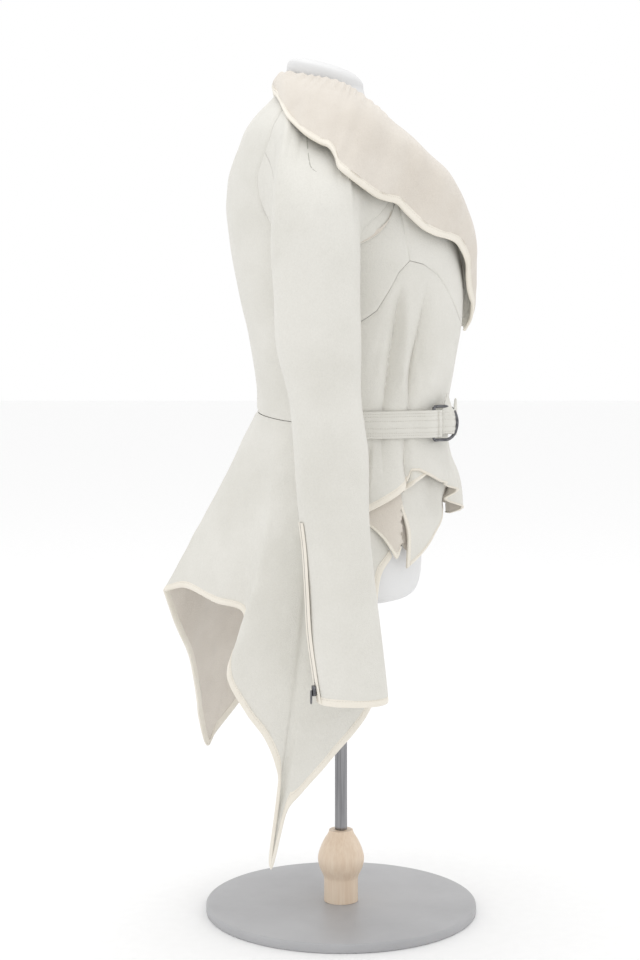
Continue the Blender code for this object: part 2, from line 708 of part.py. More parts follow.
def collar_face(station, v, lift=0.0):
    """Point of the collar: v 0 at the neckline, 0.2 at the roll, 1 at the outer edge."""
    row = collar_row(station)
    angle, z = row[:2]
    if angle < RIGHT_EDGE[-1][1]:
        angle = smooth(z, RIGHT_EDGE, 1) - COLLAR_GAP
    base = torso(angle, z, -SEAM)
    roll, edge = row[2:5], row[5:8]
    share = station / (len(COLLAR) - 1)
    away = unit(torso_normal(row[0] + 12, (roll[2] + edge[2]) / 2) + np.array([0.0, 0.0, 0.25]))
    size = float(np.linalg.norm(edge - roll))
    swell = min(smooth(share, COLLAR_SWELL, 1), 0.28 * size)
    middle = mix(roll, edge, 0.45) + away * swell
    knots = (0.0, 0.2, 0.55, 1.0)
    rows = [(k,) + tuple(p) for k, p in zip(knots, (base, roll, middle, edge))]
    return np.array([smooth(v, rows, c) for c in (1, 2, 3)])


def collar_normal(station, v):
    a, b = max(station - 0.25, 0), min(station + 0.25, len(COLLAR) - 1)
    c, d = max(v - 0.03, 0), min(v + 0.03, 1)
    out = collar_face(station, d) - collar_face(station, c)
    forward = collar_face(b, v) - collar_face(a, v)
    return unit(np.cross(out, forward))


def collar_share(station):
    """Where the binding starts: its share of the way from neckline to edge."""
    size = float(np.linalg.norm(collar_face(station, 1) - collar_face(station, 0.55)))
    return 1 - min(0.45 * BINDING / max(size, 1), 0.3)


def build_collar(word, side):
    """Half of the collar; the left half ends sooner and draws back, away from the half that covers it."""
    last = len(COLLAR) if side == RIGHT else LEFT_STATIONS
    tuck = 0.0 if side == RIGHT else 1.0

    def place(station, v, out):
        point = collar_face(station, v) + out * collar_normal(station, v)
        if station == 0:
            point[0] = -SEAM / 2
        lowered = tuck * ease((station - 16) / 8) * ease(v / 0.2)
        return sided(point + LEFT_DRAW * lowered, side)

    def main(station, v, out):
        return place(station, v * collar_share(station), out)

    def trim(station, v, out):
        start = collar_share(station) + 0.012
        return place(station, mix(start, 1.0, v), out)

    rows = (0, 0.1, 0.2, 0.27, 0.4, 0.6, 0.8, 1.0)
    extra = COLLAR_EXTRA
    cloth(f"collar_{word}", main, range(last), rows, 0, COLLAR_WALL, SUEDE)
    cloth(f"binding_collar_{word}", trim, range(last), (0, 1), -extra, COLLAR_WALL + extra, TRIM)


# Tails


def tail_face(rows, column, v):
    row = along(rows, column)
    angle = row[0]
    inward = -TAIL_TUCK * ease((98.5 - angle) / 2.5)
    waist = torso(angle, waist_seam(angle) - SEAM, inward)
    knots = [(0.0,) + tuple(waist), (0.45,) + tuple(row[1:4]), (1.0,) + tuple(row[4:7])]
    return np.array([smooth(v, knots, c) for c in (1, 2, 3)])


def tail_normal(rows, column, v):
    last = len(rows) - 1
    a, b = max(column - 0.25, 0), min(column + 0.25, last)
    c, d = max(v - 0.03, 0), min(v + 0.03, 1)
    across = tail_face(rows, b, v) - tail_face(rows, a, v)
    down = tail_face(rows, column, d) - tail_face(rows, column, c)
    own = unit(np.cross(across, down)) * -1.0
    angle = along(rows, column)[0]
    return unit(mix(torso_normal(angle, waist_seam(angle)), own, ease(v / 0.15)))


def tail_share(rows, column):
    """Share of the way down where the binding starts, so that it is as wide along a slanting hem."""
    last = len(rows) - 1
    hem = tail_face(rows, min(column + 0.3, last), 1) - tail_face(rows, max(column - 0.3, 0), 1)
    down = tail_face(rows, column, 1) - tail_face(rows, column, 0.9)
    slant = float(np.linalg.norm(np.cross(unit(hem), unit(down))))
    length = float(np.linalg.norm(down)) * 10
    return 1 - BINDING / max(slant, 0.35) / length


def build_tail(word, side, rows):
    columns = range(len(rows))

    def place(column, v, out):
        point = tail_face(rows, column, v) + out * tail_normal(rows, column, v)
        if column == 0:
            point[0] = -SEAM / 2
        return sided(point, side)

    def main(column, v, out):
        return place(column, v * tail_share(rows, column), out)

    def trim(column, v, out):
        return place(column, mix(tail_share(rows, column) + TAIL_GAP, 1.0, v), out)

    extra = BINDING_EXTRA
    cloth(f"tail_{word}", main, columns, (0, 0.08, 0.25, 0.45, 0.65, 0.82, 1), -TAIL_WALL, 0)
    cloth(f"binding_tail_{word}", trim, columns, (0, 1), -TAIL_WALL - extra, extra, TRIM)


# Belt


def ribbon(name, path, low, high, thickness, colour):
    """A strap standing on edge along a path seen from above."""
    path = [np.array(p[:2]) for p in path]
    sides = ([], [])
    for i, point in enumerate(path):
        ahead = path[min(i + 1, len(path) - 1)] - path[max(i - 1, 0)]
        across = unit(np.array([-ahead[1], ahead[0]]))
        sides[0].append(point + across * thickness / 2)
        sides[1].append(point - across * thickness / 2)
    bm = bmesh.new()
    levels = [[bm.verts.new((*(p * MM), z * MM)) for p in sides[0] + sides[1][::-1]] for z in (low, high)]
    count, half = len(levels[0]), len(path)
    for i in range(count):
        j = (i + 1) % count
        bm.faces.new([levels[0][i], levels[0][j], levels[1][j], levels[1][i]])
    for level in levels:
        for i in range(half - 1):
            bm.faces.new([level[i], level[i + 1], level[count - 2 - i], level[count - 1 - i]])
    return finish_object(mesh_object(name, bm), colour)


def ring_frame():
    """Middle of the ring's bar and the direction from it to the top of its bow, in mm."""
    middle = (BELT_LOW + BELT_HIGH) / 2
    bar = torso(RING_ANGLE, middle, 7.5)
    towards = unit(torso(RING_ANGLE - 4, middle) - torso(RING_ANGLE + 4, middle))
    bow = unit(towards + 0.42 * torso_normal(RING_ANGLE, middle))
    return bar, unit(bow * np.array([1, 1, 0]))


def build_ring():
    bar, bow = ring_frame()
    half = RING_HEIGHT / 2
    points = [(0.0, half), (0.0, 0.0), (0.0, -half)]
    for i in range(RING_STEPS + 1):
        a = -math.pi / 2 + math.pi * i / RING_STEPS
        points.append((RING_WIDTH - RING_BOW + RING_BOW * math.cos(a), half * math.sin(a)))
    curve = bpy.data.curves.new("belt_ring", "CURVE")
    curve.dimensions = "3D"
    curve.bevel_depth = RING_ROD / 2 * MM
    curve.bevel_resolution = 2
    spline = curve.splines.new("POLY")
    spline.points.add(len(points) - 1)
    for point, (forward, up) in zip(spline.points, points):
        place = (bar + bow * forward + np.array([0, 0, up])) * MM
        point.co = (*place, 1)
    spline.use_cyclic_u = True
    obj = bpy.data.objects.new("belt_ring", curve)
    bpy.context.scene.collection.objects.link(obj)
    return finish_object(obj, GUNMETAL, 0.3, 1.0)


def arc_path(middle, radius, start, end, steps, forward, out):
    """Points on an arc seen from above; angles from forward (0) to out (90)."""
    points = []
    for i in range(steps + 1):
        a = math.radians(mix(start, end, i / steps))
        points.append(middle + radius * (forward * math.cos(a) + out * math.sin(a)))
    return points


def build_belt():
    middle = (BELT_LOW + BELT_HIGH) / 2
    rows = (BELT_LOW, middle, BELT_HIGH)

    def belt_face(angle, z, out):
        rise = BELT_RISE * ease((BELT_RISE_ANGLE - angle) / BELT_RISE_WIDTH)
        return torso(angle, z, BELT_REST + rise + out)

    cloth("belt_right", belt_face, BELT_ANGLES, rows, 0, STRAP)
    bar, bow = ring_frame()
    out = unit(np.array([bow[1], -bow[0], 0.0]))
    radius = RING_ROD / 2 + 0.5 + STRAP / 2
    loop = [torso(BELT_ANGLES[0] + past, middle, distance) for past, distance in LOOP_TAIL]
    loop += arc_path(bar, radius, LOOP_START, LOOP_END, LOOP_STEPS, bow, out)
    ribbon("belt_loop", loop, BELT_LOW, BELT_HIGH, STRAP, LEATHER)
    left = [torso(angle, middle, distance) for angle, distance in LEFT_STRAP]
    ribbon("belt_left", left, BELT_LOW, BELT_HIGH, STRAP, LEATHER)


# Form and stand


def build_form():
    angles = [360 * i / FORM_SIDES for i in range(FORM_SIDES)]
    rings = [[ring_point(FORM, a, row[0]) for a in angles] for row in FORM]
    low_z, back, front, half = FORM[-1]
    centre = (back + front) / 2
    for z, size, slant in NECK_TOP:
        ring = []
        for a in angles:
            x, y = ring_point(FORM, a, low_z)[:2]
            y = centre + (y - centre) * size
            ring.append(np.array([x * size, y, z + (y - centre) * NECK_SLANT * slant]))
        rings.append(ring)
    loft("dress_form", rings, FORM_WHITE, 0.5)


def build_stand():
    bpy.ops.mesh.primitive_cylinder_add(
        vertices=PLATE_SIDES,
        radius=BASE_RADIUS * MM,
        depth=BASE_HEIGHT * MM,
        location=(0, 0, BASE_HEIGHT / 2 * MM),
    )
    base = bpy.context.object
    base.name = "base_plate"
    rim = base.modifiers.new("Rounded rim", "BEVEL")
    rim.width = 2 * MM
    rim.segments = 2
    rim.limit_method = "ANGLE"
    finish_object(base, STEEL, 0.4, 0.8)

    bm = bmesh.new()
    verts = [bm.verts.new((radius * MM, 0, z * MM)) for radius, z in FOOT]
    for a, b in zip(verts, verts[1:]):
        bm.edges.new((a, b))
    mesh = bpy.data.meshes.new("stand_foot")
    bm.to_mesh(mesh)
    bm.free()
    foot = bpy.data.objects.new("stand_foot", mesh)
    bpy.context.scene.collection.objects.link(foot)
    turn = foot.modifiers.new("Turned", "SCREW")
    turn.steps = FOOT_SIDES
    turn.render_steps = FOOT_SIDES
    turn.use_merge_vertices = True
    turn.merge_threshold = 0.0001
    turn.use_smooth_shade = True
    finish_object(foot, WOOD, 0.55)

    low, high = POLE_FOOT + SEAM, FORM[0][0] - SEAM
    bpy.ops.mesh.primitive_cylinder_add(
        vertices=POLE_SIDES,
        radius=POLE_RADIUS * MM,
        depth=(high - low) * MM,
        location=(0, 0, (low + high) / 2 * MM),
    )
    pole = bpy.context.object
    pole.name = "stand_pole"
    finish_object(pole, STEEL, 0.35, 0.9)


def main():
    make_collection()
    build_stand()
    build_form()
    build_back()
    build_front_upper("front_right_upper", right_place, RIGHT_EDGE)
    build_front_side("front_right_side", right_place)
    build_front_lower("front_right_lower", right_place, RIGHT_EDGE, RIGHT_HEM, RIGHT_COLUMNS)
    build_front_upper("front_left_upper", left_place, LEFT_EDGE)
    build_front_side("front_left_side", left_place)
    build_front_lower("front_left_lower", left_place, LEFT_EDGE, LEFT_HEM, LEFT_COLUMNS)
    for word, side in SIDES:
        build_sleeve(word, side)
        build_zip(word, side)
        build_collar(word, side)
        build_tail(word, side, RIGHT_TAIL if side == RIGHT else LEFT_TAIL)
    build_ring()
    build_belt()


main()
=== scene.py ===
"""Looks of a wrap jacket of leather-faced shearling on its dress form and stand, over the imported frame.

The tables are the part's own, in millimetres and degrees: a place on the torso is an angle (0 at centre
front, 90 at the wearer's right, 180 at centre back) and a height. Every face is a grid of points, made
into a thin wall with a leather side and a napped side. Meshes are in metres.
"""

import math

import bmesh
import bpy
import numpy as np
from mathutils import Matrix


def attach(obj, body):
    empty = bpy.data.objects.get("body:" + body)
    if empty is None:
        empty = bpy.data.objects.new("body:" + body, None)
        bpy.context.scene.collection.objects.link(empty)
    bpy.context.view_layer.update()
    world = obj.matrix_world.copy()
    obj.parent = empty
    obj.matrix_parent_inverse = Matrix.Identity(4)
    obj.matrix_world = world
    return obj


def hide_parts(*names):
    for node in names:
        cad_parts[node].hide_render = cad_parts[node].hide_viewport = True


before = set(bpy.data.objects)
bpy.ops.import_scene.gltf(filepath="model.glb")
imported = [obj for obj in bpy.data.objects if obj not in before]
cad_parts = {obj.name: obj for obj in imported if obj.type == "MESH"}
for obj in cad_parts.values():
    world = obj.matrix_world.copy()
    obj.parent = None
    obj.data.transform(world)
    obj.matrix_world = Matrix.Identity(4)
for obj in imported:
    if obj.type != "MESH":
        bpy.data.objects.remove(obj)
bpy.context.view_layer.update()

MM = 0.001
BODY = "jacket_on_form"
UP = np.array([0.0, 0.0, 1.0])
WALL, THIN_WALL, SEAM, BINDING = 2.4, 1.6, 0.3, 9.0
RING_POWER = 2.3
RIGHT, LEFT = 1, -1
STEP = 2.6
# Height, back, front and half width.
TORSO = (
    (440, 126, -148, 162),
    (500, 123, -153, 160),
    (530, 121, -153, 157),
    (568, 118, -149, 151),
    (590, 114, -143, 141),
    (613, 110, -139, 132.5),
    (637, 109, -138, 131),
    (655, 109, -138, 131),
    (675, 109, -141, 131),
    (700, 112, -146, 132),
    (729, 117, -151, 135),
    (755, 122, -155, 137),
    (783, 129, -157, 138),
    (812, 135, -158, 138),
    (850, 142, -154, 138),
    (880, 146, -148, 138),
    (910, 149, -140, 139),
    (930, 148, -130, 141),
    (950, 146, -116, 142),
    (970, 140, -98, 140),
    (990, 132, -78, 134),
    (1010, 124, -58, 122),
    (1030, 110, -45, 104),
    (1050, 92, -37, 76),
    (1068, 79, -33, 58),
    (1080, 76, -31, 54),
)
# Seams and hems as places on the torso: angle and height.
RAGLAN_BACK = (
    (95, 862), (105, 866), (117, 879), (127, 903), (131, 940), (127, 975), (121, 1022), (117, 1050),
    (113, 1066),
)
RAGLAN_FRONT = (
    (95, 862), (81, 872), (69, 893), (62, 925), (60, 957), (60, 990), (62, 1018), (67, 1046), (80, 1065),
)
RAGLAN_STEPS = len(RAGLAN_BACK) - 1
NECK_STEPS = 4
ARMHOLE_STEPS = 2 * RAGLAN_STEPS + NECK_STEPS
NECK_BACK_DROP = 6
# Front edges: height and angle. Both fronts follow the collar's seam above the lap.
COLLAR_EDGE = (
    (738, -25), (780, -7), (812, 0), (850, 6), (900, 14), (948, 22), (990, 27), (1030, 33), (1048, 45),
    (1060, 62), (1065, 76),
)
RIGHT_EDGE = ((520, -16), (575, -30), (637, -40), (700, -36)) + COLLAR_EDGE
LEFT_EDGE = ((461, -61), (505, -62), (546, -67), (600, -64), (655, -58), (700, -44)) + COLLAR_EDGE
BUST_SEAM = (
    (-25, 738), (-12, 745), (0, 752), (10, 762), (20, 773), (27, 785), (34, 798), (45, 824), (54, 836),
    (62, 840), (69, 825), (81, 778), (95, 752),
)
WAIST_SEAM = ((95, 635), (180, 649))
SIDE_ANGLE = 95
SIDE_ROWS = (635, 655, 675, 710, 752, 790, 828, 862)
PRINCESS_ANGLE, PRINCESS_STEP = 62, 3
# Widths of the bindings at a front's edge (degrees) and hem (share of the panel); the hem in front of the
# second pleat is only folded.
EDGE_STRIPS, HEM_STRIPS = {"right": 3.8, "left": 1.7}, {"right": 0.036, "left": 0.016}
HEM_TURN, FOLDED_SHARE = 60, 0.22
UNDERLAP_DEPTH, UNDERLAP_DRAW = 5.5, 17
# Height and room of the underlap behind the right front.
UNDERLAP_ROOM = ((461, 3), (520, 5), (560, 11), (590, 9), (617, 6), (657, 6), (700, 8), (738, 4), (780, 1))
RIGHT_HEM = (
    (-30, 575), (-22, 556), (-14, 528), (-6, 516), (2, 516), (10, 530), (20, 550), (28, 559), (38, 565),
    (47, 574), (54, 581), (60, 582), (65, 560), (71, 551), (86, 532), (95, 530),
)
LEFT_HEM = ((-61, 461), (-40, 487), (-12, 523), (20, 545), (50, 562), (70, 548), (86, 532), (95, 530))
# Height, angle, depth and half width of each pleat.
PLEATS = (
    (
        (560, 77, 0, 3.5), (600, 77, 2, 3.5), (653, 76, 4, 3.5), (690, 75, 9, 3.8), (742, 73, 10, 3.8),
        (790, 70, 6, 3.2), (815, 68, 0, 3.0),
    ),
    (
        (540, 63, 10, 3.2), (590, 63, 8, 3.2), (617, 62, 4, 3.2), (657, 59, 5, 3.2), (700, 60, 11, 3.6),
        (740, 58, 10, 3.6), (791, 54, 5, 3.2), (820, 52, 0, 3.0),
    ),
)
# The sharp cut in a pleat: its share of the depth and its half width in degrees.
PLEAT_CUT, PLEAT_CUT_WIDTH = 0.4, 0.9
# Raised cloth beside the pleats: its rise and ends, then the angle and half width of each.
SWELL_HEIGHT, SWELL_FOOT, SWELL_TOP = 4, 662, 820
SWELLS = ((66, 3.5), (47, 6.0))
HEM_FOLD_HEIGHT, HEM_FOLD_DEPTH, HEM_FOLD_STEP = 5, 15, 14
# Hem of the layer under the second pleat (angle, height), and the flap below (front to back, top, foot).
LAYER_HEM = ((44, 580), (50, 575), (58, 567), (64, 557))
LAYER_TOP, LAYER_DEPTH, LAYER_DROP, LAYER_STRIP = 592, 3.2, 10, 0.2
FLAP = ((-26, 550, 521), (-38, 550, 511), (-50, 554, 499), (-60, 560, 484), (-67, 563, 474), (-73, 563, 484))
FLAP_STRIP = 0.09
# Height, middle, back, front and half width of the hanging arm.
SLEEVE = (
    (840, -191, 86, -22, 47),
    (799, -194, 83, -21, 45),
    (739, -199, 80, -22, 43),
    (677, -204, 66, -22, 41),
    (612, -209, 59, -30, 39),
    (547, -214, 54, -30, 38),
    (499, -217, 48, -33, 37),
    (451, -219, 45, -38, 37),
    (397, -222, 42, -45, 36),
    (346, -225, 35, -50, 36),
    (316, -226, 30, -53, 36),
)
ARM_TOP, CUFF = SLEEVE[0][0], SLEEVE[-1][0]
CAP_FULLNESS = 0.42
BACK_SEAM_STEP, FRONT_SEAM_STEP = 5, 17
# Seam's angle and height, then the place of the roll and of the free edge.
COLLAR = (
    (180, 1061, 0, 78, 1082, 0, 87, 1067),
    (165, 1061.3, -22, 75, 1083, -40, 84, 1055),
    (145, 1063.8, -42, 62, 1081, -74, 78, 1043),
    (125, 1066.6, -54, 45, 1077, -118, 68, 1018),
    (108, 1067, -59, 30, 1074, -150, 55, 1001),
    (92, 1067, -62, 17, 1071, -166, 44, 990),
    (80, 1066.4, -63, 6, 1067, -177, 29, 980),
    (68, 1062, -64, -5, 1062, -184, 17, 974),
    (58, 1056, -65, -16, 1056, -192, 10, 962),
    (48, 1049, -66, -27, 1049, -201, 6, 949),
    (40, 1040, -67, -38, 1040, -203, -6, 938),
    (35, 1030, -68, -50, 1030, -192, -24, 925),
    (33, 1018, -70, -63, 1017, -172, -39, 916),
    (31, 1008, -72, -76, 1006, -155, -52, 912),
    (29, 996, -72, -90, 993, -143, -66, 909),
    (28, 984, -71, -103, 981, -138, -76, 899),
    (27, 972, -69, -116, 969, -131, -91, 885),
    (24, 958, -66, -130, 956, -124, -102, 877),
    (21, 944, -61, -140, 942, -115, -116, 871),
    (18, 930, -56, -148, 927, -99, -131, 868),
    (15, 912, -50, -155, 910, -83, -143, 863),
    (12, 892, -42, -162, 892, -69, -151.5, 852),
    (9, 872, -33, -167, 873, -57, -157.5, 838),
    (6, 850, -23, -170, 852, -49, -158.5, 821),
    (2, 828, -12, -171, 830, -41, -160.5, 806),
    (-1, 808, -2, -170, 810, -28, -164.5, 794),
    (-5, 790, 10, -169, 792, -14, -168, 786),
    (-10, 772, 24, -165, 775, 12, -168, 767),
    (-18, 754, 40, -159, 758, 38, -162, 752),
)
COLLAR_GAP, COLLAR_LIFT = 0.5, 2.4
COLLAR_KNOTS = (0.0, 0.2, 0.55, 1.0)
LEFT_STATIONS = 25
LEFT_DRAW = np.array([-8.0, 5.0, 0.0])
# Share of the way along the collar, and its swell there.
COLLAR_SWELL = ((0.0, 4), (0.15, 8), (0.35, 22), (0.55, 23), (0.75, 9), (1.0, 2))
# Angle at the waist seam, then a place about halfway down and the place at the hem.
RIGHT_TAIL = (
    (180, 0, 165, 535, 0, 231, 414),
    (168, -38, 150, 536, -40, 200, 424),
    (158, -72, 128, 534, -78, 160, 411),
    (150, -98, 105, 530, -100, 124, 402),
    (145, -114, 97, 518, -126, 126, 370),
    (140, -128, 92, 502, -152, 141, 333),
    (132, -140, 80, 480, -162, 118, 290),
    (125, -148, 66, 462, -164, 95, 259),
    (119, -153, 57, 445, -163, 81, 225),
    (114, -156, 51, 425, -160, 77, 190),
    (109, -158, 48, 385, -152, 88, 96),
    (106, -160, 36, 410, -161, 70, 164),
    (103, -161, 24, 425, -164, 48, 194),
    (100, -162, 8, 440, -166, 14, 233),
    (98, -161, -8, 460, -166, -36, 300),
    (97, -154.5, -20, 480, -160, -40, 380),
    (96, -147, -26, 520, -149, -46, 448),
    (95.5, -138, -28, 560, -139, -61, 476),
)
LEFT_TAIL = (
    (180, 0, 165, 535, 0, 231, 414),
    (168, -24, 157, 528, -30, 218, 365),
    (158, -50, 147, 515, -60, 204, 324),
    (148, -76, 138, 502, -86, 199, 292),
    (138, -98, 131, 490, -112, 195, 250),
    (128, -116, 124, 480, -130, 193, 219),
    (120, -134, 112, 472, -146, 184, 181),
    (114, -142, 100, 474, -152, 172, 197),
    (109, -148, 84, 478, -157, 141, 236),
    (104, -155, 62, 486, -166, 95, 300),
    (100, -160, 32, 498, -170, 40, 365),
    (97.5, -152, 2, 512, -165, 0, 412),
    (96.5, -146.5, -16, 530, -154, -35, 450),
    (95.5, -137, -28, 560, -139, -61, 476),
)
TAIL_KNOTS = (0.0, 0.45, 1.0)
TAIL_TUCK, TAIL_BINDING = 8, 7.2
BELT_LOW, BELT_HIGH = 620, 654
BELT_MIDDLE = (BELT_LOW + BELT_HIGH) / 2
BELT_START, BELT_FOLD, BELT_END = 41, 43.5, 94
BELT_REST, BELT_RISE, BELT_RISE_ANGLE, BELT_RISE_FULL = 1.3, 8.4, 59, 44
# Angle, and distance from the torso's face.
LEFT_STRAP = (
    (-94, 3.8), (-82, 3.8), (-70, 3.8), (-58, 3.8), (-47, 3.8), (-36, 3.8), (-24, 3.8), (-12, 3.8), (0, 3.8),
    (9, 4.4), (16, 8.5), (21, 14), (25.5, 18.5), (30, 18.5), (33, 13), (35, 8),
)
RING_ANGLE = 38
RING_WIDTH, RING_HEIGHT, RING_ROD, RING_BOW, RING_BACK = 29, 42, 4.0, 17, 11
STRAP = 2.3
# The loop under the belt: degrees past the belt's start and distance from the torso; then the turns of
# the loop and of the folded strap round the ring's bar, in degrees.
LOOP_TAIL = ((6, 2.6), (2, 2.6), (-1.6, 3.0))
LOOP_START, LOOP_END, FOLD_START = -105, -8, 140
ZIP_TOP, ZIP_FOOT, ZIP_STEP, ZIP_ANGLE = 528, 318, 2.4, 112
TAPE_NEAR, TAPE_OPEN, TAPE_FAR, TAPE_MOUTH = 0.3, 1.7, 6.4, 346
# Teeth: width, height over the tape and length; distance of their rows from the middle and the face.
TOOTH, TOOTH_ROW, TOOTH_OUT = (2.1, 1.5, 1.3), 0.75, 0.6
SLIDER_HEIGHT, SLIDER_OUT, SLIDER_DEPTH, TAB_OUT, TAB_DEPTH = 332, 4.5, 2.8, 8.3, 0.65
# Height over the slider's middle, and half width there.
SLIDER_OUTLINE = ((-6, 2.48), (-5.2, 3.2), (-2, 3.44), (1.5, 3.2), (4.2, 4.0), (5.4, 3.92), (6, 3.36))
TAB_OUTLINE = (
    (0.6, 1.6), (-0.2, 2.4), (-3, 2.7), (-8, 3.0), (-12, 3.0), (-13.9, 2.6), (-15.0, 1.7), (-15.4, 0.8),
)
# Height, back, front and half width.
FORM = (
    (415, 78, -84, 128),
    (418, 86, -92, 137),
    (427, 94, -99, 144),
    (445, 99, -103, 148),
    (470, 101, -104, 149),
    (500, 98, -102, 147),
    (530, 92, -97, 141.5),
    (560, 86, -91, 133.5),
    (590, 80, -85, 126),
    (637, 74, -77, 118),
    (690, 82, -88, 120),
    (750, 99, -108, 127),
    (810, 116, -124, 131),
    (850, 133, -126, 130),
    (880, 138.5, -120, 130.5),
    (910, 142, -110, 132.5),
    (930, 141, -102, 134.5),
    (950, 138.5, -92, 135),
    (970, 132.5, -80, 132),
    (990, 124, -68, 124.5),
    (1010, 114, -54, 110),
    (1030, 98, -41, 90),
    (1050, 81, -33, 62),
    (1066, 71, -29, 50),
)
# Height, size and slant of the form's neck towards its top.
NECK_TOP = (
    (1066, 1.0, 0), (1075, 1.0, 0.35), (1085, 0.98, 0.9), (1091, 0.9, 1.0), (1096, 0.7, 1.0),
    (1098, 0.35, 1.0),
)
NECK_SLANT = 0.27
BASE_RADIUS, BASE_HEIGHT, BASE_ROUND = 175, 12, 2.5
POLE_RADIUS, POLE_FOOT, AXIS_RADIUS = 8, 104, 0.5
# Radius and height of the turned wood.
FOOT = (
    (0.5, 104), (14, 104), (15.5, 103), (17, 99), (22, 91), (27, 80), (30, 68), (28, 56), (23, 45), (22, 38),
    (22, 12.3),
)
# Soft creases, as depth, half width and a line of places seen from the side (front to back, height).
FRONT_CREASES = (
    (0.9, 3.5, ((-24, 812), (-40, 818), (-54, 822))),
    (1.2, 6.0, ((-36, 690), (-44, 730), (-56, 772))),
    (0.9, 5.0, ((-104, 672), (-98, 704), (-96, 748))),
    (3.0, 2.2, ((-35, 624), (-33, 592), (-30, 560), (-31, 532))),
)
SLEEVE_CREASES = (
    (1.6, 7.0, ((30, 905), (18, 875), (12, 840))),
    (1.3, 12.0, ((62, 668), (36, 655), (8, 662))),
    (1.0, 10.0, ((56, 628), (34, 618), (6, 628))),
    (1.1, 14.0, ((-20, 560), (4, 520), (22, 470))),
    (0.9, 8.0, ((-34, 420), (-16, 396), (8, 384))),
)
# Line of the shoulder dart and of the pucker at its foot, seen from the side.
SHOULDER_DART = ((43.5, 996), (42.8, 981), (40, 957), (37, 949), (31, 944))
# Sewn edges of a grid of points: its axis, and whether the edge is at that axis's end.
FIRST_COLUMN, LAST_COLUMN, FIRST_ROW = (0, False), (0, True), (1, False)
SIDES_AND_TOP = (FIRST_COLUMN, LAST_COLUMN, FIRST_ROW)
# Unevenness of a piece: height and length of its waves, and their seed.
UNEVEN = {
    "back": (0.7, 110, 3), "upper": (0.6, 90, 5), "lower": (0.5, 80, 7), "sleeve": (0.8, 120, 11),
    "collar": (0.5, 60, 19), "tail": (0.9, 85, 23), "tail_fine": (0.35, 30, 29), "flap": (0.7, 40, 31),
}
# Height of a binding over the cloth, from its inner line to the edge.
BAND_PROFILE = ((0.0, 0.15), (0.1, 0.55), (0.22, 0.35), (0.34, 0.75), (0.62, 0.95), (0.86, 0.85), (1.0, 0.35))
# Heights of the belt's stitch rows.
STITCH_ROWS = (623.5, 626.5, 632.5, 641.5, 647.0, 650.5)

SUEDE_COLOUR = ((0.67, 0.615, 0.545), (0.78, 0.73, 0.66))
LEATHER_COLOUR = ((0.70, 0.685, 0.63), (0.78, 0.765, 0.715))
TRIM_COLOUR = ((0.81, 0.76, 0.665), (0.88, 0.835, 0.75))

# Camera, in metres: level, at the wearer's right; the picture's rows count from its top.
CAMERA_PLACE, CAMERA_DISTANCE, SEEN_HEIGHT = (-2.5, 0.0273, 0.779), 2.5, 1.248
PICTURE_ROWS, EYE_ROW, SENSOR = 960, 310, 36
FLOOR_HALF = 14.0
# Place, size and power of each lamp; all look at the jacket's middle.
LAMPS = {
    "key": ((-2.3, 2.4, 2.4), 1.8, 46),
    "fill": ((-2.6, -2.2, 1.3), 2.2, 14),
    "top": ((0.3, 0.2, 3.2), 2.0, 18),
}
LAMP_AIM = (0, 0, 0.7)


# Curves and small helpers


def weights(x, knots):
    """Shares of the knots' values at x, on a curve through the knots; the knots ascend."""
    knots = np.asarray(knots, float)
    x = np.clip(np.asarray(x, float), knots[0], knots[-1])
    last = len(knots) - 1
    seg = np.clip(np.searchsorted(knots, x, side="left") - 1, 0, last - 1)
    width = knots[seg + 1] - knots[seg]
    t = (x - knots[seg]) / width
    shares = np.zeros((len(knots), x.size))
    spot = np.arange(x.size)

    def put(index, amount):
        shares[index.ravel(), spot] += amount.ravel()

    put(seg, (1 + 2 * t) * (1 - t) ** 2)
    put(seg + 1, t * t * (3 - 2 * t))
    for knot, factor in ((seg, t * (1 - t) ** 2 * width), (seg + 1, t * t * (t - 1) * width)):
        low, high = np.maximum(knot - 1, 0), np.minimum(knot + 1, last)
        put(high, factor / (knots[high] - knots[low]))
        put(low, -factor / (knots[high] - knots[low]))
    return shares.reshape((len(knots),) + x.shape)


def smooth(x, rows, column):
    return np.tensordot([float(row[column]) for row in rows], weights(x, [row[0] for row in rows]), 1)


def along(points, place):
    """Values on a smooth curve through the points; place counts them from 0."""
    shares = weights(place, range(len(points)))
    return np.tensordot(shares, np.array(points, float), axes=([0], [0]))


def through(v, knots, points):
    """Smooth curve through points that differ from place to place, at the share v."""
    return sum(share[..., None] * point for share, point in zip(weights(v, knots), points))


def straight(x, rows):
    return np.interp(x, [row[0] for row in rows], [row[1] for row in rows])


def mix(a, b, t):
    return a + (b - a) * t


def fade(x, start, end):
    """Rises softly from 0 where x is start to 1 where x is end."""
    t = np.clip((x - start) / (end - start), 0.0, 1.0)
    return t * t * (3 - 2 * t)


def bell(x, middle, width):
    return np.exp(-(((x - middle) / width) ** 2))


def unit(v):
    return v / np.maximum(np.linalg.norm(v, axis=-1, keepdims=True), 1e-9)


def rounded(value):
    return np.copysign(np.abs(value) ** (2 / RING_POWER), value)


def sided(points, side):
    return points * np.array([side, 1.0, 1.0])


def turns(count):
    """Angles evenly spaced round a circle."""
    return [2 * math.pi * k / count for k in range(count)]


def travelled(points):
    """Distance covered along a line of points."""
    return np.concatenate([[0], np.cumsum(np.linalg.norm(np.diff(points, axis=0), axis=-1))])


def spaced(length, step):
    """Shares 0 to 1 along a length, closer together near both ends, where seams dip."""
    near = np.array([0.0, 0.7, 1.6, 2.8, 4.2]) / length
    inner = np.linspace(near[-1], 1 - near[-1], max(int(length / step), 2))[1:-1]
    return np.concatenate([near, inner, 1 - near[::-1]])


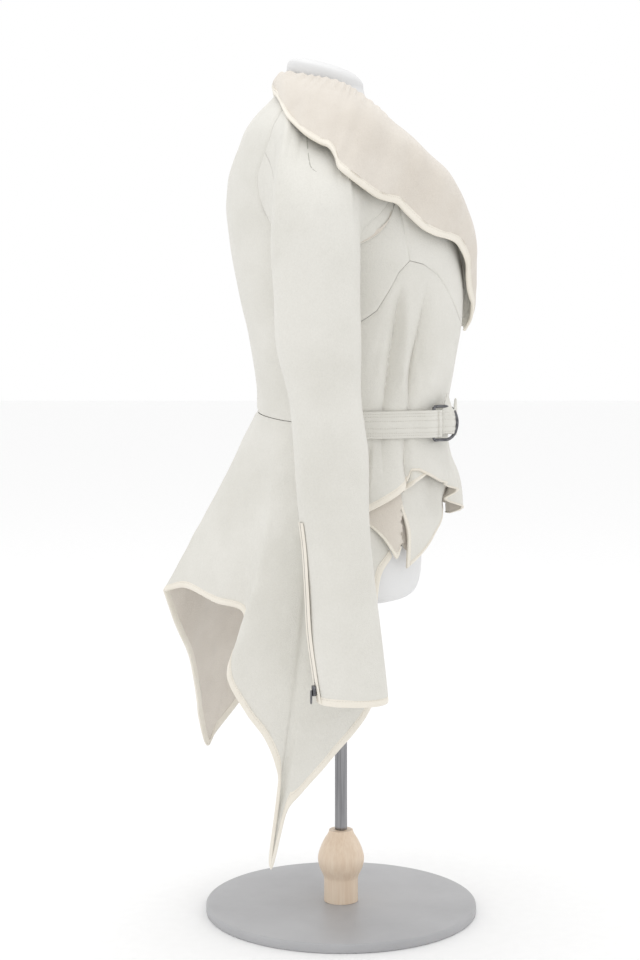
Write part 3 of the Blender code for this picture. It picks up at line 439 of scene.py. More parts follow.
def waves(points, kind):
    """Soft unevenness of one kind, from waves of about its length in all directions."""
    height, length, seed = UNEVEN[kind]
    rng = np.random.default_rng(seed)
    total = np.zeros(points.shape[:-1])
    for _ in range(6):
        direction = unit(rng.normal(size=3)) * 2 * math.pi / (length * rng.uniform(0.7, 1.5))
        total += np.sin(points @ direction + rng.uniform(0, 2 * math.pi))
    return height * (total / 3)


# Torso, sleeve, collar and tail faces, in mm


def ring_point(rows, angle, z):
    back, front, half = (smooth(z, rows, c) for c in (1, 2, 3))
    a = np.radians(angle)
    y = (back + front) / 2 - (back - front) / 2 * rounded(np.cos(a))
    return np.stack([-half * rounded(np.sin(a)), y, z + 0.0 * y], axis=-1)


def torso_normal(angle, z):
    around = ring_point(TORSO, angle + 2, z) - ring_point(TORSO, angle - 2, z)
    up = ring_point(TORSO, angle, z + 2) - ring_point(TORSO, angle, z - 2)
    return unit(np.cross(up, around))


def torso(angle, z, out=0.0):
    angle, z = np.broadcast_arrays(np.asarray(angle, float), np.asarray(z, float))
    return ring_point(TORSO, angle, z) + np.asarray(out)[..., None] * torso_normal(angle, z)


def pleat_height(angle, z):
    height = np.zeros(np.broadcast(angle, z).shape)
    for rows in PLEATS:
        line, depth, width = (smooth(z, rows, c) for c in (1, 2, 3))
        inside = (z >= rows[0][0]) & (z <= rows[-1][0])
        fold = (1 - PLEAT_CUT) * bell(angle, line, width)
        fold = fold + PLEAT_CUT * np.exp(-np.abs(angle - line) / PLEAT_CUT_WIDTH)
        height = height - inside * depth * fold
    swell = SWELL_HEIGHT * fade(z, SWELL_FOOT, SWELL_FOOT + 40) * fade(z, SWELL_TOP, SWELL_TOP - 60)
    for middle, width in SWELLS:
        height = height + swell * bell(angle, middle, width)
    fall = HEM_FOLD_HEIGHT * fade(z, 605, 545) * fade(angle, -30, -18) * fade(angle, 40, 28)
    turn = 0.5 - 0.5 * np.cos(2 * math.pi * angle / HEM_FOLD_STEP)
    drop = HEM_FOLD_DEPTH * fade(z, 576, 536) * fade(angle, -30, -18) * fade(angle, 46, 36)
    return height + fall * turn - drop * (1 - turn)


def right_place(angle, z):
    return torso(angle, z, pleat_height(angle, z))


def left_place(angle, z):
    cover = (1 - fade(angle, 45, 65)) * (1 - fade(z, 812, 872))
    room = smooth(z, UNDERLAP_ROOM, 1) * fade(angle, -18, -36)
    own = 0.4 * np.minimum(pleat_height(angle, z), 0) * fade(angle, 48, 60)
    drawn = UNDERLAP_DRAW * fade(z, 578, 533) * bell(angle, 0, 45)
    return sided(torso(angle, z, own - UNDERLAP_DEPTH * cover - room - drawn), LEFT)


def armhole(step):
    step = np.mod(step, ARMHOLE_STEPS)
    back = along(RAGLAN_BACK, np.clip(step, 0, RAGLAN_STEPS))
    front = along(RAGLAN_FRONT, np.clip(ARMHOLE_STEPS - step, 0, RAGLAN_STEPS))
    share = np.clip((step - RAGLAN_STEPS) / NECK_STEPS, 0, 1)[..., None]
    neck = mix(np.array(RAGLAN_BACK[-1], float), np.array(RAGLAN_FRONT[-1], float), share)
    on_back = (step <= RAGLAN_STEPS)[..., None]
    on_front = (step >= RAGLAN_STEPS + NECK_STEPS)[..., None]
    return np.where(on_back, back, np.where(on_front, front, neck))


def arm_angle(step):
    return np.interp(np.mod(step, ARMHOLE_STEPS), (0, 8, 12, ARMHOLE_STEPS), (0, 150, 210, 360))


def arm_face(angle, z):
    middle, back, front, half = (smooth(z, SLEEVE[::-1], c) for c in (1, 2, 3, 4))
    a = np.radians(angle)
    y = (back + front) / 2 + (back - front) / 2 * rounded(np.sin(a))
    return np.stack([middle + half * rounded(np.cos(a)), y, z + 0.0 * y], axis=-1)


def cap_face(step, t):
    angle, z = np.moveaxis(armhole(step), -1, 0)
    top = np.full(z.shape, float(ARM_TOP))
    start, end = ring_point(TORSO, angle, z), arm_face(arm_angle(step), top)
    span = np.linalg.norm(end - start, axis=-1, keepdims=True)
    lift = fade(z, RAGLAN_BACK[0][1], 982)[..., None]
    out = unit(mix(np.array([-0.55, 0.0, -0.8]), np.array([-0.88, 0.0, -0.42]), lift))
    normal = torso_normal(angle, z)
    out = unit(out - 0.9 * normal * (out * normal).sum(-1, keepdims=True))
    above = unit(end - arm_face(arm_angle(step), top - 40))
    a, b = start + out * span * CAP_FULLNESS, end + above * span * CAP_FULLNESS
    s, t = 1 - t[..., None], t[..., None]
    return s ** 3 * start + 3 * s * s * t * a + 3 * s * t * t * b + t ** 3 * end


def sleeve_face(step, row):
    """Sleeve from the armhole (row 0) over the top of the arm (row 1) down to the cuff (row 2)."""
    cap = cap_face(step, np.clip(row, 0, 1))
    arm = arm_face(arm_angle(step), mix(ARM_TOP, CUFF, np.clip(row - 1, 0, 1)))
    return np.where((row <= 1)[..., None], cap, arm)


def collar_face(station, v):
    row = along(COLLAR, station)
    z = row[..., 1]
    at_front = row[..., 0] < RIGHT_EDGE[-1][1]
    angle = np.where(at_front, smooth(z, RIGHT_EDGE, 1) - COLLAR_GAP, row[..., 0])
    base = torso(angle, z, -SEAM)
    roll, edge = row[..., 2:5], row[..., 5:8]
    share = station / (len(COLLAR) - 1)
    away = torso_normal(row[..., 0] + 12, (roll[..., 2] + edge[..., 2]) / 2)
    away = unit(away + np.array([0.0, 0.0, 0.25]))
    size = np.linalg.norm(edge - roll, axis=-1)
    swell = np.minimum(smooth(share, COLLAR_SWELL, 1), 0.28 * size)[..., None]
    return through(v, COLLAR_KNOTS, (base, roll, mix(roll, edge, 0.45) + away * swell, edge))


def collar_share(station):
    one = np.ones(np.shape(station))
    size = np.linalg.norm(collar_face(station, one) - collar_face(station, 0.55 * one), axis=-1)
    return 1 - np.minimum(0.45 * BINDING / np.maximum(size, 1), 0.3)


def tail_face(rows, column, v):
    row = along(rows, column)
    angle = row[..., 0]
    waist = torso(angle, straight(angle, WAIST_SEAM) - SEAM, -TAIL_TUCK * fade(angle, 98.5, 96))
    return through(v, TAIL_KNOTS, (waist, row[..., 1:4], row[..., 4:7]))


def tail_share(rows, column):
    last = len(rows) - 1
    one = np.ones(np.shape(column))
    ahead, behind = np.minimum(column + 0.3, last), np.maximum(column - 0.3, 0)
    hem = tail_face(rows, ahead, one) - tail_face(rows, behind, one)
    down = tail_face(rows, column, one) - tail_face(rows, column, 0.9 * one)
    slant = np.linalg.norm(np.cross(unit(hem), unit(down)), axis=-1)
    length = np.linalg.norm(down, axis=-1) * 10
    return 1 - TAIL_BINDING / np.maximum(slant, 0.35) / length


# Materials


def nodes_of(name, rough, metal=0.0):
    material = bpy.data.materials.new(name)
    material.use_nodes = True
    tree = material.node_tree
    shader = tree.nodes["Principled BSDF"]
    shader.inputs["Roughness"].default_value = rough
    shader.inputs["Metallic"].default_value = metal
    return material, tree, shader


def add_node(tree, kind, links, **values):
    """Outputs of a new node; links and values set its inputs, in whose names _ stands for a space."""
    node = tree.nodes.new("ShaderNode" + kind)
    for name, value in values.items():
        node.inputs[name.replace("_", " ")].default_value = value
    for name, socket in links.items():
        tree.links.new(socket, node.inputs[name])
    return node.outputs


def noise(tree, scale, detail=3.0, stretch=(1, 1, 1)):
    """A noise texture in the object's own coordinates; stretch scales its axes."""
    place = add_node(tree, "TexCoord", {})["Object"]
    stretched = add_node(tree, "Mapping", {"Vector": place}, Scale=stretch)["Vector"]
    return add_node(tree, "TexNoise", {"Vector": stretched}, Scale=scale, Detail=detail)["Fac"]


def spots(tree, scale):
    """Small cells, as in a leather's grain."""
    place = add_node(tree, "TexCoord", {})["Object"]
    return add_node(tree, "TexVoronoi", {"Vector": place}, Scale=scale)["Distance"]


def ramp(tree, value, low, high, start=0.35, end=0.65):
    node = tree.nodes.new("ShaderNodeValToRGB")
    node.color_ramp.elements[0].position = start
    node.color_ramp.elements[1].position = end
    node.color_ramp.elements[0].color = (*low, 1)
    node.color_ramp.elements[1].color = (*high, 1)
    tree.links.new(value, node.inputs["Fac"])
    return node.outputs["Color"]


def bump(tree, shader, layers):
    """Adds relief to the shader from (value, height in metres) layers."""
    links = {}
    for value, distance in layers:
        links["Height"] = value
        links["Normal"] = add_node(tree, "Bump", links, Distance=distance)["Normal"]
    tree.links.new(links["Normal"], shader.inputs["Normal"])


def blended(tree, a, b, share):
    node = tree.nodes.new("ShaderNodeMix")
    node.data_type = "RGBA"
    node.inputs["Factor"].default_value = share
    tree.links.new(a, node.inputs["A"])
    tree.links.new(b, node.inputs["B"])
    return node.outputs["Result"]


def rough_from(tree, shader, value, low, high):
    roughness = add_node(tree, "MapRange", {"Value": value}, To_Min=low, To_Max=high)["Result"]
    tree.links.new(roughness, shader.inputs["Roughness"])


def make_leather(name, colours, grain, rough):
    material, tree, shader = nodes_of(name, rough)
    clouds = ramp(tree, noise(tree, 11, 4), *colours)
    flecks = ramp(tree, noise(tree, 420, 3), *colours, start=0.3, end=0.7)
    tree.links.new(blended(tree, clouds, flecks, 0.35), shader.inputs["Base Color"])
    rough_from(tree, shader, noise(tree, 60, 3), rough - 0.08, rough + 0.1)
    layers = [(noise(tree, 38, 3), 0.0012), (spots(tree, 900), grain), (noise(tree, 1300, 2), grain * 0.7)]
    bump(tree, shader, layers)
    shader.inputs["Sheen Weight"].default_value = 0.08
    shader.inputs["Specular IOR Level"].default_value = 0.35
    return material


def make_suede(name, colours):
    material, tree, shader = nodes_of(name, 0.92)
    clouds = ramp(tree, noise(tree, 16, 5), *colours)
    nap = ramp(tree, noise(tree, 900, 4), *colours, start=0.3, end=0.7)
    tree.links.new(blended(tree, clouds, nap, 0.45), shader.inputs["Base Color"])
    bump(tree, shader, [(noise(tree, 70, 4), 0.0009), (noise(tree, 950, 4), 0.0005)])
    shader.inputs["Sheen Weight"].default_value = 0.35
    shader.inputs["Sheen Roughness"].default_value = 0.5
    shader.inputs["Specular IOR Level"].default_value = 0.15
    return material


def make_metal(name, low, high, rough, stretch):
    material, tree, shader = nodes_of(name, rough, 1.0)
    lines = noise(tree, 260, 4, stretch)
    tree.links.new(ramp(tree, lines, low, high), shader.inputs["Base Color"])
    rough_from(tree, shader, lines, rough - 0.06, rough + 0.08)
    bump(tree, shader, [(lines, 0.00006)])
    return material


def make_shell(name, low, high, rough, relief):
    """Smooth plastic or paint with a slight mottle."""
    material, tree, shader = nodes_of(name, rough)
    tree.links.new(ramp(tree, noise(tree, 7, 3), low, high), shader.inputs["Base Color"])
    rough_from(tree, shader, noise(tree, 90, 3), rough - 0.05, rough + 0.07)
    bump(tree, shader, [(noise(tree, 420, 2), relief)])
    return material


def make_wood(name):
    material, tree, shader = nodes_of(name, 0.5)
    rings = ramp(tree, noise(tree, 55, 4, (1, 1, 0.12)), (0.72, 0.55, 0.40), (0.88, 0.75, 0.60), 0.3, 0.7)
    fibres = ramp(tree, noise(tree, 420, 3, (1, 1, 0.05)), (0.76, 0.59, 0.44), (0.87, 0.73, 0.58))
    tree.links.new(blended(tree, rings, fibres, 0.4), shader.inputs["Base Color"])
    bump(tree, shader, [(noise(tree, 420, 3, (1, 1, 0.05)), 0.0002)])
    shader.inputs["Coat Weight"].default_value = 0.15
    return material


LEATHER = make_leather("leather_face", LEATHER_COLOUR, 0.00022, 0.58)
SUEDE = make_suede("suede_side", SUEDE_COLOUR)
TRIM = make_leather("binding_leather", TRIM_COLOUR, 0.00012, 0.5)
THREAD = make_leather("thread", ((0.66, 0.63, 0.55), (0.74, 0.71, 0.63)), 0.0001, 0.7)
# Dark line laid on the shoulder dart: painted shade of the dart's crease.
DART_CREASE_SHADE = make_leather("painted_dart_shade", ((0.40, 0.40, 0.35), (0.48, 0.47, 0.42)), 0.0001, 0.7)
BELT_THREAD = make_leather("belt_thread", ((0.50, 0.47, 0.41), (0.58, 0.55, 0.48)), 0.0001, 0.7)
GUNMETAL = make_metal("gunmetal", (0.10, 0.10, 0.11), (0.20, 0.20, 0.21), 0.3, (1, 1, 1))
BRUSHED = make_metal("brushed_pole", (0.20, 0.20, 0.21), (0.33, 0.33, 0.34), 0.34, (1, 1, 0.04))
SHELL = make_shell("form_shell", (0.72, 0.72, 0.72), (0.77, 0.77, 0.77), 0.42, 0.00008)
PAINT = make_shell("plate_paint", (0.40, 0.40, 0.41), (0.46, 0.46, 0.47), 0.4, 0.0002)
WOOD = make_wood("pale_wood")


# Pieces


def add_mesh(name, points, faces, materials, replaced=(), body=BODY, sharp=60, indices=None):
    """A closed mesh from points in mm; it rides on a body and stands for the nodes it replaces."""
    mesh = bpy.data.meshes.new(name)
    mesh.from_pydata((np.asarray(points).reshape(-1, 3) * MM).tolist(), [], faces)
    for material in materials:
        mesh.materials.append(material)
    if indices is not None:
        mesh.polygons.foreach_set("material_index", indices)
    mesh.shade_smooth()
    mesh.set_sharp_from_angle(angle=math.radians(sharp))
    turned = bmesh.new()
    turned.from_mesh(mesh)
    bmesh.ops.recalc_face_normals(turned, faces=turned.faces)
    if turned.calc_volume(signed=True) < 0:
        bmesh.ops.reverse_faces(turned, faces=turned.faces)
    turned.to_mesh(mesh)
    turned.free()
    obj = bpy.data.objects.new(name, mesh)
    bpy.context.scene.collection.objects.link(obj)
    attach(obj, body)
    if replaced:
        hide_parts(*replaced)
    return obj


def grid(face, us, vs):
    u, v = np.meshgrid(us, vs, indexing="ij")
    return face(u, v)


def axis_of(points):
    """The middle of the torso at each point's height."""
    return points * UP


def facing(points, centre, closed=False):
    """Normals of a grid of points, away from the centre; centre may be a point or a point for each row."""
    if closed:
        around = np.roll(points, -1, axis=0) - np.roll(points, 1, axis=0)
    else:
        around = np.gradient(points, axis=0)
    normals = unit(np.cross(around, np.gradient(points, axis=1)))
    return normals if (normals * (points - centre)).sum() > 0 else -normals


def edge_distance(points, axis, from_end):
    gaps = np.linalg.norm(np.diff(points, axis=axis), axis=-1)
    if from_end:
        gaps = np.flip(gaps, axis)
    far = np.concatenate([np.zeros_like(np.take(gaps, [0], axis)), np.cumsum(gaps, axis)], axis)
    return np.flip(far, axis) if from_end else far


def pinch(points, normals, edges, depth=1.1, reach=2.6):
    """Draws a face in along its sewn edges."""
    drop = np.zeros(points.shape[:-1])
    for axis, at_end in edges:
        drop = np.maximum(drop, bell(edge_distance(points, axis, at_end), 0, reach))
    return points - normals * (drop * depth)[..., None]


def line_distance(points, line):
    """Distance in the side view from a line of places, and the share of the way along it."""
    places = points[..., 1:]
    best = np.full(points.shape[:-1], np.inf)
    share = np.zeros(points.shape[:-1])
    for i, (a, b) in enumerate(zip(line, line[1:])):
        a, b = np.array(a, float), np.array(b, float)
        t = np.clip(((places - a) @ (b - a)) / ((b - a) @ (b - a)), 0, 1)
        far = np.linalg.norm(places - (a + t[..., None] * (b - a)), axis=-1)
        closer = far < best
        best = np.where(closer, far, best)
        share = np.where(closer, (i + t) / (len(line) - 1), share)
    return best, share


def creased(points, normals, creases):
    for depth, width, line in creases:
        far, share = line_distance(points, line)
        drop = depth * fade(share, 0, 0.25) * fade(share, 1, 0.75) * bell(far, 0, width)
        points = points - normals * drop[..., None]
    return points


def wall(name, points, normals, materials, replaced=(), thick=WALL):
    """A thin wall under a grid of points: first material outside, second inside."""
    both = np.stack([points, points - normals * thick])
    index = np.arange(points[..., 0].size).reshape(points.shape[:2])
    outer = np.stack([index[:-1, :-1], index[1:, :-1], index[1:, 1:], index[:-1, 1:]], -1).reshape(-1, 4)
    faces = [outer, outer[:, ::-1] + index.size]
    for line in (index[:, 0], index[:, -1], index[0], index[-1]):
        a, b = line[:-1], line[1:]
        faces.append(np.stack([a, a + index.size, b + index.size, b], -1))
    faces = np.concatenate(faces)
    indices = np.zeros(len(faces), int)
    indices[len(outer):2 * len(outer)] = 1
    return add_mesh(name, both, faces.tolist(), materials, replaced, sharp=50, indices=indices)


def skin(piece, points, uneven="", edges=(), creases=(), depth=1.1, centre=None, new=False, inner=SUEDE):
    """A leather piece: uneven, creased and drawn in along its sewn edges; a new one replaces no node."""
    normals = facing(points, axis_of(points) if centre is None else centre)
    if uneven:
        points = points + normals * waves(points, uneven)[..., None]
    points = pinch(creased(points, normals, creases), normals, edges, depth)
    obj = wall("skin_" + piece, points, normals, (LEATHER, inner), () if new else (piece,),
               THIN_WALL if new else WALL)
    return obj, points, normals


def ring_faces(count, sides, closed_path=False):
    """Faces through rings of points; the ends are closed unless the path closes on itself."""
    index = np.arange(count * sides).reshape(count, sides)
    ahead = np.roll(index, -1, axis=0)[: count if closed_path else count - 1]
    here = index[: len(ahead)]
    faces = np.stack([here, np.roll(here, -1, 1), np.roll(ahead, -1, 1), ahead], -1).reshape(-1, 4).tolist()
    if not closed_path:
        faces += [index[0].tolist()[::-1], index[-1].tolist()]
    return faces


def tube(name, rings, material, replaced=(), body=BODY, closed_path=False, sharp=60):
    """A solid through rings of points."""
    rings = np.asarray(rings)
    faces = ring_faces(*rings.shape[:2], closed_path)
    return add_mesh(name, rings, faces, [material], replaced, body, sharp)


def band(name, face, us, inner, outer=1, replaced=(), centre=None, thick=WALL, closed=False, lift=0.0):
    """A rounded band folded over a free edge, from its inner line to the edge; with its line of stitches."""
    shares, heights = np.array(BAND_PROFILE).T
    points = grid(lambda u, t: face(u, mix(inner(u) if callable(inner) else inner, outer, t)), us, shares)
    normals = facing(points, axis_of(points) if centre is None else centre, closed)
    points = points + normals * lift
    top = points + normals * heights[:, None]
    low = points - normals * (heights[:, None] + thick)
    brink = points[:, -1] + unit(points[:, -1] - points[:, -2]) * 0.5 - normals[:, -1] * thick / 2
    rings = np.concatenate([top, brink[:, None], low[:, ::-1]], axis=1)
    obj = tube(name, rings, TRIM, replaced, closed_path=closed)
    return obj, (top[:, 2] + normals[:, 2] * 0.1, normals[:, 2])


def at_places(places, far, values):
    return np.stack([np.interp(places, far, values[:, c]) for c in range(3)], -1)


def stitches(name, lines, pitch=3.4, length=2.3, half=0.28, material=THREAD):
    """Rows of small stitches, pointed at both ends, along (points, normals) lines."""
    stitched = []
    for points, normals in lines:
        far = travelled(points)
        places = np.arange(pitch, far[-1] - pitch, pitch)
        at, normal = at_places(places, far, points), unit(at_places(places, far, normals))
        forward = unit(at_places(places + 0.5, far, points) - at)
        across = np.cross(forward, normal)
        ways = (-forward * length / 2, forward * length / 2, across * half, -across * half, normal * half,
                -normal * half)
        stitched.append(np.stack([at + way for way in ways], 1))
    stitched = np.concatenate(stitched)
    sides = [end for c, d in ((2, 4), (4, 3), (3, 5), (5, 2)) for end in ((0, c, d), (1, d, c))]
    faces = np.arange(len(stitched))[:, None, None] * 6 + np.array(sides)
    return add_mesh("stitches_" + name, stitched, faces.reshape(-1, 3).tolist(), [material],
                    sharp=180)


# Body


def build_back():
    side_steps = len(SIDE_ROWS) - 1
    last = side_steps + RAGLAN_STEPS
    neck_angle, neck_height = RAGLAN_BACK[-1]

    def face(column, row):
        edge_angle, edge_z = np.moveaxis(along(RAGLAN_BACK, np.clip(row - side_steps, 0, None)), -1, 0)
        edge_z = np.where(row < side_steps, np.interp(row, range(side_steps + 1), SIDE_ROWS), edge_z)
        angle = mix(edge_angle, 180, 1 - np.abs(column))
        rise = (edge_z - SIDE_ROWS[0]) / (neck_height - SIDE_ROWS[0])
        z = edge_z + (straight(angle, WAIST_SEAM) - SIDE_ROWS[0] + SEAM) * (1 - rise) ** 2
        z = z - NECK_BACK_DROP * fade(angle, neck_angle, neck_angle + 60) * fade(row, last - 1, last)
        return torso(angle, z) * np.stack([np.where(column <= 0, 1, -1), 1 + 0 * z, 1 + 0 * z], -1)

    points = grid(face, np.linspace(-1, 1, 109), np.linspace(0, last, 150))
    obj, points, _ = skin("back_body", points, "back", SIDES_AND_TOP)


def build_front_upper(word, place, edge):
    start, low = BUST_SEAM[0]
    high = RAGLAN_FRONT[PRINCESS_STEP][1]
    last = RAGLAN_STEPS - PRINCESS_STEP + 1

    def face(share, row):
        below, above = np.clip(row, 0, 1), np.clip(row - 1, 0, None)
        base_angle = mix(start, PRINCESS_ANGLE, share)
        far, z_above = np.moveaxis(along(RAGLAN_FRONT, PRINCESS_STEP + above), -1, 0)
        z = np.where(row <= 1, mix(straight(base_angle, BUST_SEAM) + SEAM, high, below), z_above)
        edge_z = np.where(row <= 1, mix(low + SEAM, high, below), z_above)
        near = smooth(edge_z, edge, 1)
        return place(mix(near, np.where(row <= 1, PRINCESS_ANGLE, far), share), z)

    rows = np.concatenate([np.linspace(0, 1, 75), np.linspace(1, last, 60)[1:]])
    points = grid(face, np.linspace(0, 1, 90), rows)
    obj, points, _ = skin(f"front_{word}_upper", points, "upper", (LAST_COLUMN, FIRST_ROW), FRONT_CREASES)


def build_front_side(word, place):
    def face(column, row):
        angle, top = np.moveaxis(along(RAGLAN_FRONT, column), -1, 0)
        return place(angle, mix(straight(angle, BUST_SEAM) + SEAM, top, row))

    points = grid(face, np.linspace(0, PRINCESS_STEP, 34), np.linspace(0, 1, 36))
    obj, points, _ = skin(f"front_{word}_side", points, "", SIDES_AND_TOP, inner=LEATHER)


def build_front_lower(word, place, edge, hem):
    name = f"front_{word}_lower"
    start, seam_start = BUST_SEAM[0]
    top, low = straight(SIDE_ANGLE, BUST_SEAM), straight(SIDE_ANGLE, hem)
    first = start + EDGE_STRIPS[word]

    def face(angle, row):
        edge_z = mix(seam_start, straight(edge[0][1], hem), row)
        share = (SIDE_ANGLE - angle) / (SIDE_ANGLE - start)
        here = angle + (smooth(edge_z, edge, 1) - start) * share
        return place(here, mix(straight(angle, BUST_SEAM) - SEAM, straight(here, hem), row))

    def bare(angle):
        folded = FOLDED_SHARE if word == "right" else 1.0
        return 1 - HEM_STRIPS[word] * mix(folded, 1.0, fade(angle, HEM_TURN, HEM_TURN + 3))

    angles = np.concatenate([np.linspace(first, 50, 80), np.linspace(50, 82, 80)[1:],
                             np.linspace(82, SIDE_ANGLE, 18)[1:]])
    rows = np.linspace(0, 1, max(int((top - low) / STEP), 80))
    points = grid(lambda angle, share: face(angle, share * bare(angle)), angles, rows)
    obj, points, _ = skin(name, points, "lower", (LAST_COLUMN, FIRST_ROW), FRONT_CREASES)

    below = UP * low
    hem_band, hem_line = band(f"band_hem_{name}", face, np.linspace(first, SIDE_ANGLE, 240), bare,
                              replaced=[f"binding_hem_{name}"], centre=below)
    edge_band, edge_line = band(f"band_edge_{name}", lambda row, angle: face(angle, row),
                                np.linspace(0, 1, 130), first, start, [f"binding_edge_{name}"], below)
    stitches(name, [hem_line, edge_line])


def build_pleat_layer():
    """The cloth under the second pleat, whose bound hem shows below the folded hem in front of it."""
    def face(angle, row):
        depth = LAYER_DEPTH + LAYER_DROP * fade(angle, 58, 63)
        return torso(angle, mix(LAYER_TOP, straight(angle, LAYER_HEM), row), -depth)

    angles = np.linspace(LAYER_HEM[0][0], LAYER_HEM[-1][0], 60)
    points = grid(face, angles, np.linspace(0, 1 - LAYER_STRIP, 24))
    obj, points, _ = skin("front_right_layer", points, new=True)
    trim, line = band("band_layer", face, angles, 1 - LAYER_STRIP, centre=UP * LAYER_TOP, thick=THIN_WALL)
    stitches("layer", [line])


def build_flap():
    """The turned inner side of the left front that shows under the right hem: a bound napped flap."""
    angles = np.linspace(40, 95, 111)

    def layer(out, shift):
        def face(share, row):
            y, top, foot = np.moveaxis(along(FLAP, share * (len(FLAP) - 1)), -1, 0)
            torn = np.sin(row * 31) + 0.6 * np.sin(row * 73 + 1)
            y = y + shift - 1.1 * torn * fade(share, 0.9, 1)
            z = mix(top, foot, row)
            around = torso(angles[:, None], z.reshape(1, -1), out)
            x = [np.interp(one, around[:, i, 1], around[:, i, 0]) for i, one in enumerate(y.reshape(-1))]
            return np.stack([np.array(x).reshape(y.shape), y, z], -1)
        return face

    for number, (out, shift) in enumerate(((-10, 0), (-20, -13))):
        points = grid(layer(out, shift), np.linspace(0, 1, 50), np.linspace(0, 1 - FLAP_STRIP, 50))
        normals = facing(points, axis_of(points))
        points = points + normals * waves(points, "flap")[..., None]
        obj = wall(f"skin_flap_{number}", points, normals, (SUEDE, LEATHER), thick=THIN_WALL)
        extras = []
        if number == 0:
            trim, line = band("band_flap", layer(out, shift), np.linspace(0, 1, 80), 1 - FLAP_STRIP,
                              thick=THIN_WALL)
            extras = [trim, stitches("flap", [line])]


# Sleeves


def sleeve_axis(points, side):
    """The middle of the arm at each point's height; above the arm's top it follows the shoulder."""
    z = np.minimum(points[..., 2], ARM_TOP)
    middle, back, front = (smooth(z, SLEEVE[::-1], c) for c in (1, 2, 3))
    high = np.maximum(points[..., 2] - ARM_TOP, 0)
    return np.stack([side * (middle + 0.5 * high), (back + front) / 2, z + 0.2 * high], -1)


def build_sleeve(word, side):
    def face(step, row):
        return sided(sleeve_face(step, row), side)

    foot = 2 - (BINDING - 1.0) / (ARM_TOP - CUFF)
    rows = np.concatenate([np.linspace(0.004, 1, 62), 1 + spaced(ARM_TOP - CUFF, 3.2)[1:] * (foot - 1)])
    extras = build_zip(word, side)
    cuff_middle = sided(np.array([-226, -12, CUFF]), side)
    cuff, line = band(f"band_cuff_{word}", face, np.linspace(0, ARMHOLE_STEPS, 121)[:-1], foot - 0.002, 2,
                      [f"binding_cuff_{word}"], cuff_middle, closed=True)
    extras += [cuff, stitches(f"cuff_{word}", [line])]
    for panel, first, last, count, inner, creases in (
        ("upper", BACK_SEAM_STEP, FRONT_SEAM_STEP, 72, LEATHER, SLEEVE_CREASES),
        ("under", FRONT_SEAM_STEP, BACK_SEAM_STEP + ARMHOLE_STEPS, 52, SUEDE, ()),
    ):
        steps = mix(first + 0.006, last - 0.006, spaced(130.0, 130 / (count - 8)))
        points = grid(face, steps, rows)
        obj, points, normals = skin(f"sleeve_{word}_{panel}", points, "sleeve", SIDES_AND_TOP, creases, 0.9,
                                    sleeve_axis(points, side), inner=inner)
        if panel == "upper":
            extras.append(build_dart(word, points, normals, side))


def build_dart(word, points, normals, side):
    """The shoulder dart's line: a thin dark tube laid on the sleeve's face as painted shade of the dart's
    crease, with tapered ends.
    """
    outer = points[..., 0] * side < -120
    flat, out = points[outer], normals[outer]
    path, ups = [], []
    for t in np.linspace(0, len(SHOULDER_DART) - 1, 40):
        y, z = along(SHOULDER_DART, np.array(t))
        far = np.hypot(flat[:, 1] - y, flat[:, 2] - z)
        near = np.argsort(far)[:6]
        share = 1 / (0.5 + far[near])
        path.append((float((flat[near, 0] * share).sum() / share.sum()), y, z))
        ups.append((out[near] * share[:, None]).sum(0) / share.sum())
    path, ups = np.array(path), unit(np.array(ups))
    across = unit(np.cross(unit(np.gradient(path, axis=0)), ups))
    taper = np.sin(np.linspace(0.12, math.pi - 0.12, len(path)))[:, None] ** 0.4
    rings = [path + (across * 0.55 * math.cos(a) + ups * 0.35 * math.sin(a)) * taper for a in turns(8)]
    return tube(f"dart_{word}", np.stack(rings, axis=1), DART_CREASE_SHADE)


# Cuff zips


def zip_frame(side, z):
    """A place on the sleeve's face under the zip, with its directions across the zip and outwards."""
    ahead, point, behind = (arm_face(ZIP_ANGLE + a, np.array(float(z))) for a in (2, 0, -2))
    out = unit(np.cross(ahead - behind, UP))
    across = unit(np.cross(UP, out))
    return sided(point, side), sided(across, side), sided(out, side)


def build_tape(word, side, number, part):
    """One cream tape; it stands further from the other at the foot, round the slider."""
    rings = []
    for z in np.linspace(ZIP_TOP, ZIP_FOOT, 80):
        point, across, out = zip_frame(side, z)
        near, far = part * mix(TAPE_NEAR, TAPE_OPEN, fade(z, TAPE_MOUTH, TAPE_MOUTH - 12)), part * TAPE_FAR
        rings.append([point + across * mix(near, far, share) + out * height
                      for share, height in ((0, 0.5), (0.12, 2.3), (0.5, 2.6), (0.88, 1.9), (1, 0.5))])
    return tube(f"zip_tape_{word}_{number}", rings, TRIM)


def tooth(point, across, out):
    """Rings of a small block with bevelled outer edges."""
    width, height, length = TOOTH
    return [[point + across * a * width / 2 * share + out * level * height + UP * (b * length / 2 * share)
             for a, b in ((-1, -1), (1, -1), (1, 1), (-1, 1))]
            for level, share in ((0.0, 1.0), (0.7, 1.0), (1.0, 0.6))]


def build_zip(word, side):
    """Zip of a cuff: two cream tapes, a double row of teeth, the slider and its pull tab."""
    pieces = [build_tape(word, side, number, part) for number, part in enumerate((1, -1))]
    teeth = []
    for row, offset in ((TOOTH_ROW, 0.0), (-TOOTH_ROW, ZIP_STEP / 2)):
        for z in np.arange(ZIP_FOOT + 20 + offset, ZIP_TOP, ZIP_STEP):
            point, across, out = zip_frame(side, z)
            teeth.append(tooth(point + across * row + out * TOOTH_OUT, across, out))
    starts = 12 * np.arange(len(teeth))[:, None, None]
    faces = (np.array(ring_faces(3, 4)) + starts).reshape(-1, 4).tolist()
    chain = add_mesh(f"zip_teeth_{word}", teeth, faces, [GUNMETAL], [f"zip_{word}"], sharp=0)
    build_slider(word, side)
    return pieces + [chain]


